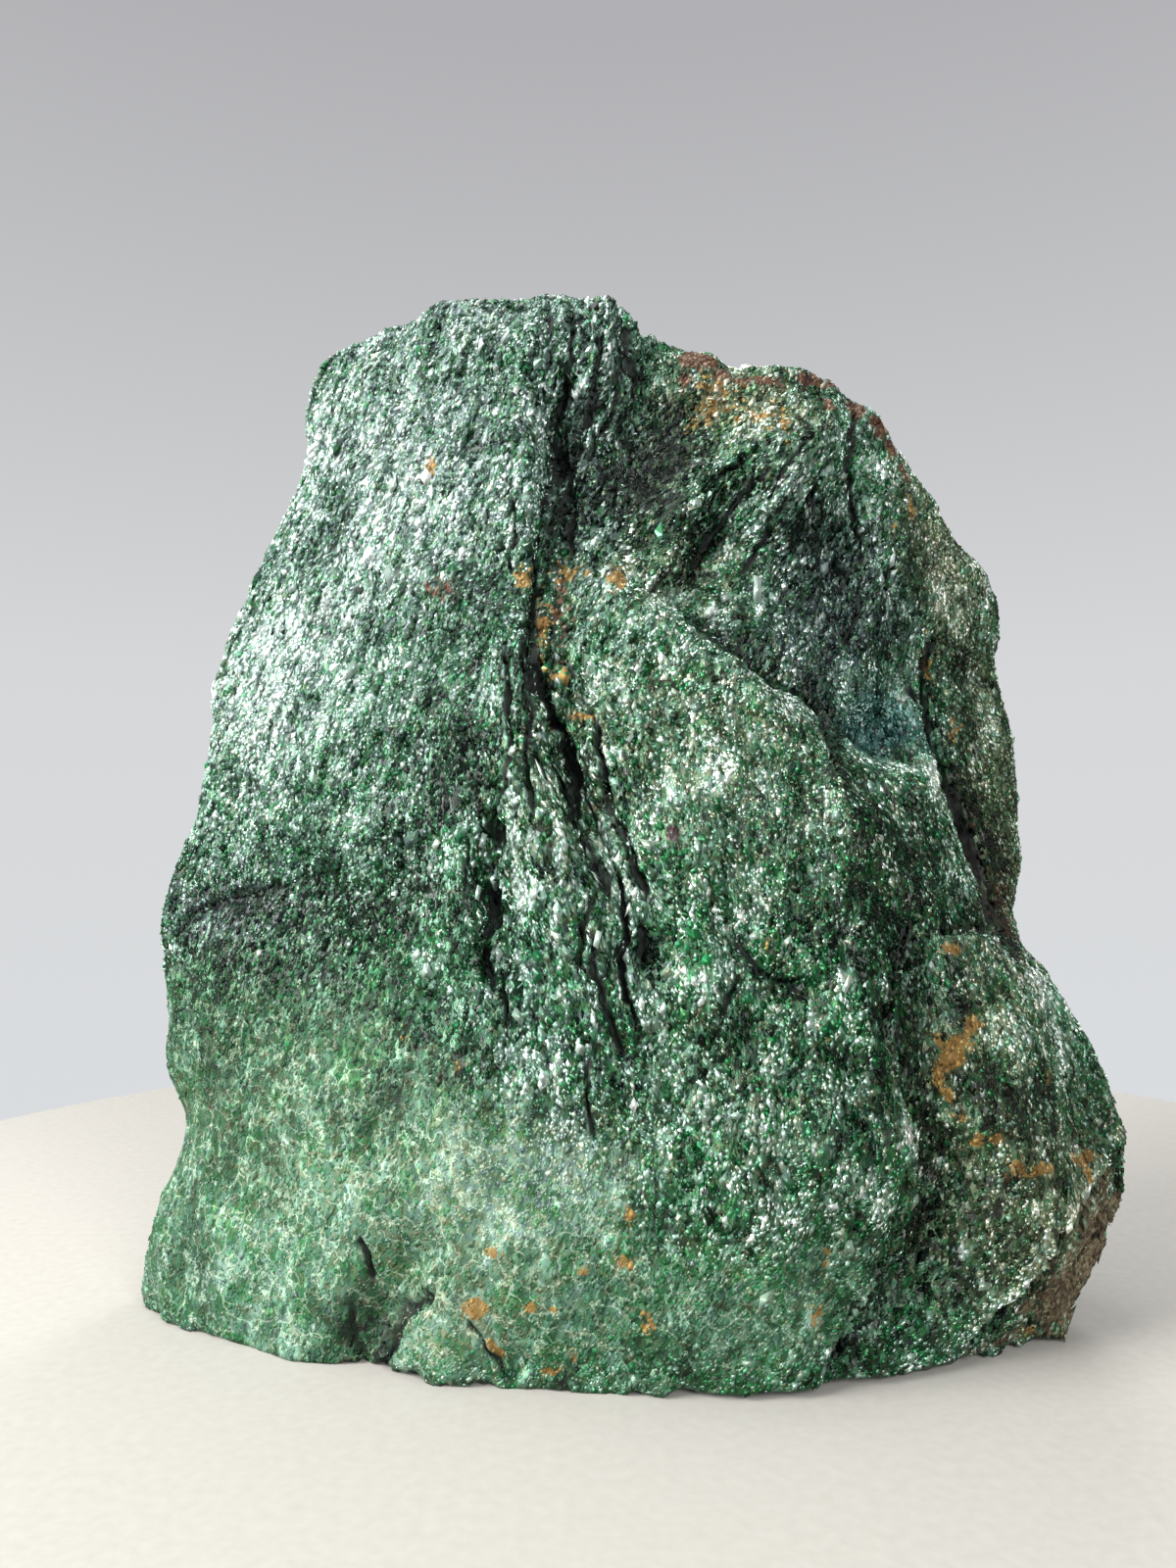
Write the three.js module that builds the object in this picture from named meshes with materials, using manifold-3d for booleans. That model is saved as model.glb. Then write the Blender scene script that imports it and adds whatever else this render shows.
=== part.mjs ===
// Raw fuchsite: one loose lump of green mica schist that stands on its broken base.
// Millimetres, +Z up. The face with the cleft looks along -Y, the hidden face along +Y.
// The origin is under the middle of the lump, on the surface that it stands on.
import * as THREE from 'three';
import { mergeVertices } from 'three/addons/utils/BufferGeometryUtils.js';
import { ImprovedNoise } from 'three/addons/math/ImprovedNoise.js';
import Module from 'manifold-3d';

// Driving dimensions: the box that the finished lump fills.
const WIDTH = 183;
const DEPTH = 82;
const HEIGHT = 196;

// How the skin of facets is spread over the lump.
const SPHERE_ROWS = 22;        // rows of facets along each edge of the starting icosahedron
const RIM_ANGLE = 1.8;         // radians from the middle of the face to the rim, on the sphere
const FACE_SHARE = 0.72;       // share of the way from middle to rim that is face, not edge
const FRONT_CORNER = 4;        // superellipse power of the rim: higher is a sharper corner
const BACK_CORNER = 5;
const FOOT_SHARPNESS = 5;      // added to that power along the foot
const FOOT_TOP = 36;           // height where the foot's sharper corner starts
const MIDDLE = { x: 0, z: 92 };
const FACET_BLEND = 2.2;       // how softly two broken planes meet
const EDGE_WIDTH = 3.2;        // width of the slope on a ledge's edge
const GATHER_REACH = 5;        // how far a crease draws the facets' corners in
const GATHER_PULL = 0.7;       // and how strongly, where 1 would put them on the crease
const CREASE_WIDTH = 3.5;      // folds up to this width are creases
const GROUND_SLAB = 600;       // side of the block that the base is cut with

// The rim, where the face turns into the sides, as [x, y, z] from the left foot clockwise.
const RIM = [
  // left side: foot, waist and the long slope up to the shoulder
  [-90.5, 11, 5], [-87.5, 7, 17], [-83.6, 6, 27], [-83, 6, 34], [-86, 5, 47], [-88, 4, 62],
  [-88.2, 4, 75], [-83.6, 5, 88], [-80.4, 6, 103], [-79.5, 8, 119], [-76.6, 10, 133], [-74.2, 11, 142],
  [-70.5, 12, 149], [-66.4, 12, 160], [-64.3, 13, 172], [-62.5, 12, 182], [-59, 12, 188],
  // the top block and its drop on the right
  [-48, 10, 190], [-39.4, 7, 193], [-34.3, 5, 196], [-17.6, 3, 196], [-2.5, 3, 194.6],
  [2.8, 4, 191.8], [6.9, 8, 190],
  // right shoulder
  [18, 10, 187.4], [27.2, 12, 182.2], [37, 12, 182], [49.6, 14, 176.4], [59.2, 16, 168.4],
  [68, 18, 155], [76.4, 20, 144], [79.4, 20, 137],
  // the slab behind the belly, down to its tip
  [80, 20, 131], [78.6, 20, 124], [81.6, 20, 108], [81.8, 18, 92], [82, 17, 84],
  [77.5, 14, 74], [77, 11, 68],
  // the lower right lobe
  [79.5, 2, 64], [83.6, -3, 56], [87.6, -5, 46], [91.3, -5, 35], [92, -5, 29], [91.6, -5, 22],
  [86.5, -2, 11], [81, -1, 3],
  // under the ground line, cut away for the base
  [79, -1, -5], [72, -1, -16], [58, -3, -25], [0, 0, -27], [-48, 4, -27], [-84, 12, -14],
];

// Broken planes. Each passes through [x, y, z] and falls back by `right` per mm to the right
// and by `up` per mm upwards. The front is behind all of its planes, and so is the back.
const FRONT_PLANES = [
  { at: [-14, -14, 153], right: -0.4, up: 0.2 },       // upper left plane
  { at: [-30, -22, 105], right: -0.45, up: 0.12 },     // middle left
  { at: [-52, -21, 48], right: -0.58, up: 0.02 },      // lower left face
  { at: [20, -29.5, 80], right: 0.03, up: 0.15 },      // belly
  { at: [10, -33.5, 25], right: -0.12, up: -0.05 },    // lower belly
  { at: [56, -24, 20], right: 0.36, up: -0.02 },       // lower right lobe
  { at: [25, -10, 150], right: 0.1, up: 0.25 },        // upper right
  { at: [59, 2, 143], right: 0.6, up: 0.3 },           // right shoulder
];
const BACK_PLANES = [
  { at: [0, 41, 40], right: 0.02, up: -0.03 },         // middle of the back
  { at: [-50, 37, 60], right: 0.2, up: -0.06 },        // back left
  { at: [52, 38, 50], right: -0.2, up: -0.03 },        // back right
  { at: [20, 33, 140], right: -0.1, up: -0.24 },       // upper right of the back
  { at: [-30, 35, 130], right: 0.14, up: -0.17 },      // upper left of the back
  { at: [72, 31, 22], right: -0.6, up: 0.3 },          // chipped corner behind the lobe
  { at: [-74, 29, 24], right: 0.5, up: 0.2 },          // chipped corner behind the left foot
];

// Folds run along a path of [x, z] points. A positive rise stands out and a negative one is cut in.
const FRONT_FOLDS = [
  // floor of the main cleft, and the two cracks that run on from it
  { path: [[-10.5, 177], [-10.5, 167], [-10, 156], [-9.5, 145], [-11, 133], [-13, 120]], width: 3, rise: -5 },
  { path: [[-13.5, 126], [-14, 113], [-9, 101], [-1, 84], [4, 76]], width: 2.4, rise: -3.5 },
  { path: [[-13, 114], [-7, 94], [-2, 76], [2, 58]], width: 2.2, rise: -2.6 },
  // stacked layers left of the cracks, and the deep black crack through them
  { path: [[-20, 128], [-17, 102], [-10, 82], [-3, 62]], width: 6, rise: 2.4 },
  { path: [[-23.5, 92], [-23, 80], [-20.5, 70], [-19.5, 60]], width: 2.2, rise: -4.6 },
  { path: [[-24, 124], [-23, 110], [-24, 97]], width: 2.2, rise: -1.8 },
  // short crack on the belly
  { path: [[13, 77], [18, 71], [21, 63]], width: 2.2, rise: -2 },
  // striated ridges under the right shoulder
  { path: [[46, 174], [37, 166], [29, 155], [22, 144]], width: 4.6, rise: 3 },
  { path: [[57, 168], [56, 152], [54, 138]], width: 4, rise: 2 },
  { path: [[44, 169], [44, 155], [42, 140]], width: 2.4, rise: -2.2 },
  // soft valley between the belly and the lower right lobe
  { path: [[56, 80], [51, 70], [48, 60], [49, 48], [50.5, 37], [49, 25], [42, 14], [34, 4]], width: 3.4,
    rise: -2 },
  // dark band and pale ridge on the lower left face
  { path: [[-87, 75], [-73, 77.5], [-59, 80], [-47, 80]], width: 5, rise: -1.6 },
  { path: [[-82, 39], [-66, 42], [-53, 47]], width: 4, rise: 1.6 },
  // the notch in the bottom edge, and the crack right of the round lump
  { path: [[-28, 24], [-36, 17], [-41, 9], [-43.5, 2], [-45, -4]], width: 3.2, rise: -3.8 },
  { path: [[-24, 15], [-19, 8], [-16, 2]], width: 2.2, rise: -2.6 },
];
const BACK_FOLDS = [
  // long cracks down the layers, and a rib between them
  { path: [[-30, 178], [-22, 140], [-26, 112]], width: 3.4, rise: -4 },
  { path: [[-20, 108], [-28, 84], [-18, 58], [-22, 40]], width: 3, rise: -3 },
  { path: [[38, 160], [28, 138], [34, 116]], width: 3.2, rise: -3.4 },
  { path: [[12, 108], [6, 84], [14, 48], [10, 14]], width: 6, rise: 3 },
  { path: [[-62, 100], [-56, 66], [-60, 30]], width: 3.2, rise: -3 },
  { path: [[52, 98], [46, 70], [54, 40], [48, 16]], width: 3.2, rise: -3.2 },
  { path: [[-8, 174], [2, 150], [-4, 130]], width: 5, rise: 2.6 },
];

// Ledges step down by `drop` on the left of their path, and the low side rises again over `reach`.
const FRONT_LEDGES = [
  // left wall of the cleft, under the crest of the upper left plane
  { path: [[-14.5, 180], [-14.5, 168], [-13.5, 156], [-13, 145], [-15, 134]], drop: 5, reach: 16 },
  // right side of the top block, into the dark bowl
  { path: [[4, 192], [3, 182], [1, 172], [-1, 163]], drop: 4, reach: 12 },
  // diagonal crack on the right of the bowl
  { path: [[22, 160], [16, 150], [9, 134]], drop: 5, reach: 10 },
  // upper lip of the belly, along the slate hollow, and its right edge over the slab
  { path: [[3, 133], [12, 128], [19, 121], [27, 115], [34, 111], [38, 101]], drop: 7, reach: 18 },
  { path: [[40, 105], [48, 102], [58, 100], [63, 89], [67, 80], [75, 68], [78, 64]], drop: 11, reach: 30 },
  // right edge of the belly, over the lobe
  { path: [[54, 76], [50, 66], [49, 48], [50.5, 37], [49, 25], [42, 14], [34, 4]], drop: 4, reach: 14 },
  // underside of the middle left face
  { path: [[-38, 90], [-50, 86], [-68, 88], [-88, 92]], drop: 1.6, reach: 16 },
  // broken brown edge of the lobe
  { path: [[94, 34], [86, 24], [79, 13], [68, 6], [58, 1]], drop: 4.5, reach: 14 },
];
const BACK_LEDGES = [
  { path: [[86, 84], [52, 104], [16, 106], [-14, 128], [-46, 134], [-72, 152]], drop: 3.6, reach: 18 },
  { path: [[-2, 40], [-20, 54], [-48, 44], [-84, 50]], drop: 3, reach: 16 },
  { path: [[84, 60], [58, 46], [30, 52]], drop: 3, reach: 14 },
];

// Domes are lumps, and bowls where the rise is negative: half sizes [across, along], turned in degrees.
const FRONT_DOMES = [
  { at: [5, 154], size: [8, 15], turn: -15, rise: -4 },       // dark bowl right of the cleft
  { at: [42, 130], size: [15, 24], turn: 12, rise: -6.5 },      // slate hollow
  { at: [47, 109], size: [10, 6], turn: 10, rise: -3 },       // its teal floor
  { at: [-8, 116], size: [6, 10], turn: 0, rise: -2.5 },      // pocket under the cleft
  { at: [14, 96], size: [24, 22], turn: 0, rise: 2.5 },       // swell of the belly
  { at: [24, 30], size: [24, 24], turn: 0, rise: 2.5 },       // lower belly
  { at: [70, 48], size: [13, 15], turn: 20, rise: 5 },        // top of the lobe
  { at: [66, 24], size: [16, 12], turn: 30, rise: 2.5 },      // foot of the lobe
  { at: [80, 36], size: [8, 6], turn: 0, rise: -2.5 },        // dimple at the lobe's edge
  { at: [-29, 9], size: [10, 9], turn: 0, rise: 2.6 },        // round lump beside the notch
  { at: [-76, 16], size: [12, 14], turn: 20, rise: 1 },       // flare of the left foot
  { at: [-66, 62], size: [16, 14], turn: 0, rise: 2.5 },      // swell of the lower left face
  { at: [-46, 108], size: [16, 12], turn: 20, rise: 2 },      // swell of the middle left face
  { at: [-28, 140], size: [14, 6], turn: -20, rise: -2.5 },   // saddle under the upper left plane
  { at: [-20, 186], size: [14, 9], turn: 0, rise: 3 },        // brow of the top block
  { at: [62, 150], size: [9, 16], turn: -30, rise: 2.5 },     // rounded right rim
];
const BACK_DOMES = [
  { at: [-34, 154], size: [22, 20], turn: 0, rise: 3.5 },
  { at: [42, 84], size: [22, 26], turn: 20, rise: 3.5 },
  { at: [-40, 76], size: [20, 16], turn: 0, rise: -3 },
  { at: [16, 150], size: [14, 22], turn: -20, rise: -3.5 },
  { at: [-14, 24], size: [26, 16], turn: 0, rise: 3 },
];

// Overall roughness: lumps drawn out along the layers, which stand nearly upright.
const ROUGHNESS = [
  { across: 26, along: 44, height: 2.4 },
  { across: 10, along: 20, height: 1.6 },
  { across: 5, along: 10, height: 0.7 },
];

const STONE_GREEN = '#4c6f5c';

const softMax = (values) => FACET_BLEND * Math.log(
  values.reduce((sum, value) => sum + Math.exp(value / FACET_BLEND), 0));

const planeDepth = (plane, x, z) =>
  plane.at[1] + (x - plane.at[0]) * plane.right + (z - plane.at[2]) * plane.up;

// Nearest place on a path: where it is, how far off and on which side (1 is left), and how far along.
function nearestOnPath(path, x, z) {
  let nearest = { distance: Infinity };
  const spans = path.length - 1;
  for (let i = 0; i < spans; i++) {
    const [ax, az] = path[i];
    const [bx, bz] = path[i + 1];
    const dx = bx - ax;
    const dz = bz - az;
    const share = THREE.MathUtils.clamp(((x - ax) * dx + (z - az) * dz) / (dx * dx + dz * dz), 0, 1);
    const place = [ax + share * dx, az + share * dz];
    const distance = Math.hypot(x - place[0], z - place[1]);
    if (distance < nearest.distance) {
      const side = Math.sign(dx * (z - az) - dz * (x - ax)) || 1;
      nearest = { place, distance, side, along: (i + share) / spans };
    }
  }
  return nearest;
}

// Both ends of a path run out gently.
const fadeAtEnds = (along) =>
  THREE.MathUtils.smoothstep(along, -0.05, 0.2) * THREE.MathUtils.smoothstep(1 - along, -0.05, 0.2);

function foldHeight(fold, x, z) {
  const { distance, along } = nearestOnPath(fold.path, x, z);
  return fold.rise * Math.exp(-((distance / fold.width) ** 2)) * fadeAtEnds(along);
}

function ledgeHeight(ledge, x, z) {
  const { distance, side, along } = nearestOnPath(ledge.path, x, z);
  const beyond = distance * side;
  const edge = THREE.MathUtils.smoothstep(beyond, -EDGE_WIDTH / 2, EDGE_WIDTH / 2);
  return -ledge.drop * edge * Math.exp(-Math.max(beyond, 0) / ledge.reach) * fadeAtEnds(along);
}

// Draws a point of the skin towards the creases near it, so that their edges stay crisp.
function gatherToCreases(creases, strength, x, z) {
  return creases.reduce(([px, pz], crease) => {
    const { place, distance, along } = nearestOnPath(crease.path, px, pz);
    const pull = strength * fadeAtEnds(along) * Math.exp(-((distance / GATHER_REACH) ** 2));
    return [THREE.MathUtils.lerp(px, place[0], pull), THREE.MathUtils.lerp(pz, place[1], pull)];
  }, [x, z]);
}

function domeHeight(dome, x, z) {
  const turn = THREE.MathUtils.degToRad(dome.turn);
  const across = (x - dome.at[0]) * Math.cos(turn) + (z - dome.at[1]) * Math.sin(turn);
  const along = (z - dome.at[1]) * Math.cos(turn) - (x - dome.at[0]) * Math.sin(turn);
  return dome.rise * Math.exp(-((across / dome.size[0]) ** 2) - (along / dome.size[1]) ** 2);
}

const relief = (folds, ledges, domes, x, z) =>
  folds.reduce((sum, fold) => sum + foldHeight(fold, x, z), 0) +
  ledges.reduce((sum, ledge) => sum + ledgeHeight(ledge, x, z), 0) +
  domes.reduce((sum, dome) => sum + domeHeight(dome, x, z), 0);

const frontDepth = (x, z) =>
  softMax(FRONT_PLANES.map((plane) => planeDepth(plane, x, z))) -
  relief(FRONT_FOLDS, FRONT_LEDGES, FRONT_DOMES, x, z);

const backDepth = (x, z) =>
  -softMax(BACK_PLANES.map((plane) => -planeDepth(plane, x, z))) +
  relief(BACK_FOLDS, BACK_LEDGES, BACK_DOMES, x, z);

const creasesOf = (folds, ledges) => [...folds.filter((fold) => fold.width < CREASE_WIDTH), ...ledges];
const FRONT_CREASES = creasesOf(FRONT_FOLDS, FRONT_LEDGES);
const BACK_CREASES = creasesOf(BACK_FOLDS, BACK_LEDGES);

// The rim as a smooth closed curve, entered with a share of its length from 0 to 1.
const rimCurve = new THREE.CatmullRomCurve3(RIM.map((point) => new THREE.Vector3(...point)), true);
const startAngle = Math.atan2(RIM[0][2] - MIDDLE.z, RIM[0][0] - MIDDLE.x);

function rimPoint(angle) {
  const clockwise = THREE.MathUtils.euclideanModulo(startAngle - angle, 2 * Math.PI) / (2 * Math.PI);
  return rimCurve.getPointAt(clockwise);
}

// From the middle of a face to the rim: how far out, and how much of the face's depth is left.
function edgeProfile(run, corner) {
  const out = Math.min(run / FACE_SHARE, 1);
  const up = Math.min((1 - run) / (1 - FACE_SHARE), 1);
  const length = (out ** corner + up ** corner) ** (1 / corner);
  return { out: out / length, up: up / length };
}

// The point of the lump that belongs to a direction on the unit sphere.
function lumpPoint(direction) {
  const fromFront = Math.acos(THREE.MathUtils.clamp(-direction.y, -1, 1));
  const isFront = fromFront < RIM_ANGLE;
  const run = isFront ? fromFront / RIM_ANGLE : (Math.PI - fromFront) / (Math.PI - RIM_ANGLE);
  const rim = rimPoint(Math.atan2(direction.z, direction.x));
  const foot = FOOT_SHARPNESS * THREE.MathUtils.smoothstep(FOOT_TOP - rim.z, 0, FOOT_TOP);
  const profile = edgeProfile(run, (isFront ? FRONT_CORNER : BACK_CORNER) + foot);
  const [x, z] = gatherToCreases(
    isFront ? FRONT_CREASES : BACK_CREASES,
    GATHER_PULL * (1 - profile.out ** 8),
    THREE.MathUtils.lerp(MIDDLE.x, rim.x, profile.out),
    THREE.MathUtils.lerp(MIDDLE.z, rim.z, profile.out),
  );
  const face = isFront ? frontDepth(x, z) : backDepth(x, z);
  return new THREE.Vector3(x, THREE.MathUtils.lerp(rim.y, face, profile.up), z);
}

// Pushes every point in or out along its normal by layered noise.
function roughen(geometry) {
  const noise = new ImprovedNoise();
  geometry.computeVertexNormals();
  const { position, normal } = geometry.attributes;
  for (let i = 0; i < position.count; i++) {
    const point = new THREE.Vector3().fromBufferAttribute(position, i);
    const outward = new THREE.Vector3().fromBufferAttribute(normal, i);
    const height = ROUGHNESS.reduce((sum, { across, along, height: size }) =>
      sum + size * noise.noise(point.x / across, point.y / across, point.z / along), 0);
    position.setXYZ(i, ...point.addScaledVector(outward, height));
  }
  geometry.deleteAttribute('normal');
}

function lumpGeometry() {
  const sphere = new THREE.IcosahedronGeometry(1, SPHERE_ROWS);
  sphere.deleteAttribute('normal');
  sphere.deleteAttribute('uv');
  const geometry = mergeVertices(sphere, 1e-5);
  const { position } = geometry.attributes;
  for (let i = 0; i < position.count; i++) {
    const direction = new THREE.Vector3().fromBufferAttribute(position, i).normalize();
    position.setXYZ(i, ...lumpPoint(direction));
  }
  roughen(geometry);
  return geometry;
}

// Manifold solids, used for the one cut that leaves the flat base.
const wasm = await Module();
wasm.setup();

function toSolid(geometry) {
  const merged = geometry.index ? geometry : mergeVertices(geometry);
  return new wasm.Manifold(new wasm.Mesh({
    numProp: 3,
    vertProperties: new Float32Array(merged.attributes.position.array),
    triVerts: new Uint32Array(merged.index.array),
  }));
}

function fromSolid(solid) {
  const mesh = solid.getMesh();
  const geometry = new THREE.BufferGeometry();
  geometry.setAttribute('position', new THREE.BufferAttribute(mesh.vertProperties, 3));
  geometry.setIndex(new THREE.BufferAttribute(mesh.triVerts, 1));
  return geometry;
}

function cutFlatBase(geometry) {
  const above = new THREE.BoxGeometry(GROUND_SLAB, GROUND_SLAB, GROUND_SLAB);
  above.deleteAttribute('normal');
  above.deleteAttribute('uv');
  above.translate(0, 0, GROUND_SLAB / 2);
  return fromSolid(toSolid(geometry).intersect(toSolid(mergeVertices(above))));
}

// Stands the lump on its base, centred on the origin, at exactly its driving size.
function fitToSize(geometry) {
  geometry.computeBoundingBox();
  const size = geometry.boundingBox.getSize(new THREE.Vector3());
  const centre = geometry.boundingBox.getCenter(new THREE.Vector3());
  geometry.translate(-centre.x, -centre.y, -geometry.boundingBox.min.z);
  geometry.scale(WIDTH / size.x, DEPTH / size.y, HEIGHT / size.z);
  return geometry;
}

const stone = new THREE.Mesh(
  fitToSize(cutFlatBase(lumpGeometry())),
  new THREE.MeshStandardMaterial({ color: STONE_GREEN, roughness: 0.45, metalness: 0.1 }),
);
stone.name = 'stone';

const fuchsite = new THREE.Group();
fuchsite.add(stone);

export default fuchsite;
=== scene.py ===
# Raw fuchsite: a loose lump of green mica schist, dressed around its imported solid.
# The skin carries the cracks, ledges and layers, and plates of mica stand on it in their thousands.
# Lengths are metres in Blender and millimetres in the tables below; +Z is up, the cleft looks along -Y.
import math

import bpy
import numpy as np
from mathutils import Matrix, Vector


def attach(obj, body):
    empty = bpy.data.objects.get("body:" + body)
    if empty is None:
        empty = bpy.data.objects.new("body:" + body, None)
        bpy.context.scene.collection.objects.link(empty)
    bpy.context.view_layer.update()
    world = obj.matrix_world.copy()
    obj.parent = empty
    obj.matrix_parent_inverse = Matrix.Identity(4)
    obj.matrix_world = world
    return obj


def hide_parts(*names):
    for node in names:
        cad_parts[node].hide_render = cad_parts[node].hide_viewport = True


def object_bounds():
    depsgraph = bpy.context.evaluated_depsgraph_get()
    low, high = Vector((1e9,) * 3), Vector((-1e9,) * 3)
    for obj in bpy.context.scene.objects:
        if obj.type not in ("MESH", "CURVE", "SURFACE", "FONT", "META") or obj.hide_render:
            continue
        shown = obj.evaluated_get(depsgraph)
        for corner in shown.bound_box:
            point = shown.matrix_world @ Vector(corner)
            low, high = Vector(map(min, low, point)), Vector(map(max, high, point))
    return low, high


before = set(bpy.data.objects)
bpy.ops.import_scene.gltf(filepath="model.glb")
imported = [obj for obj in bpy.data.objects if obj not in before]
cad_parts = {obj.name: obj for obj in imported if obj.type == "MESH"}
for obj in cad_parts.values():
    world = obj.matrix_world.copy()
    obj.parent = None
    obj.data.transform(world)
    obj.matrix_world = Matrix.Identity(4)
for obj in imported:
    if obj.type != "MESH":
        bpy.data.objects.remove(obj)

CAD_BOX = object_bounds()
MM = 0.001
CAD_MM = [np.array(corner) / MM for corner in CAD_BOX]
SEED = 11

# ---------------------------------------------------------------------------------------------
# The stone's own features, in millimetres: places are x and z on the face unless they say back.
# A spot is x, z, half its width, half its height and, where it is turned, its turn in radians.
# ---------------------------------------------------------------------------------------------

# Crack insides are painted dark: shade with some dirt, blacker the deeper and narrower the crack is.
BLACK_AT = 1.9           # a crack this many times as deep as its half width is black inside


def crack(path, width, depth, step, dark=None, shade=None):
    """A crack along a path of [x, z] places. width is half of its width, step is how far the ground left of
    the path stands above the right, dark is how black it is painted inside, as shade with some dirt, and
    shade is the painted light and shade close by, left and right of the path: a painted highlight along a
    lit edge and painted shade on the side in shadow."""
    if dark is None:
        dark = min(1.0, depth / width / BLACK_AT)
    return {"path": path, "width": width, "depth": depth, "step": step, "dark": dark, "shade": shade}


def patch(spot, tone, **shares):
    """A part of the stone that looks alike. tone shifts the mica towards pale (above 0) or dark (below 0),
    partly as its own colour and partly as painted light and shade, and each share runs from 0 to 1. silk is
    fine and even; fuzz is matt and fibrous."""
    return {"spot": spot, "tone": tone, **shares}


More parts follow.
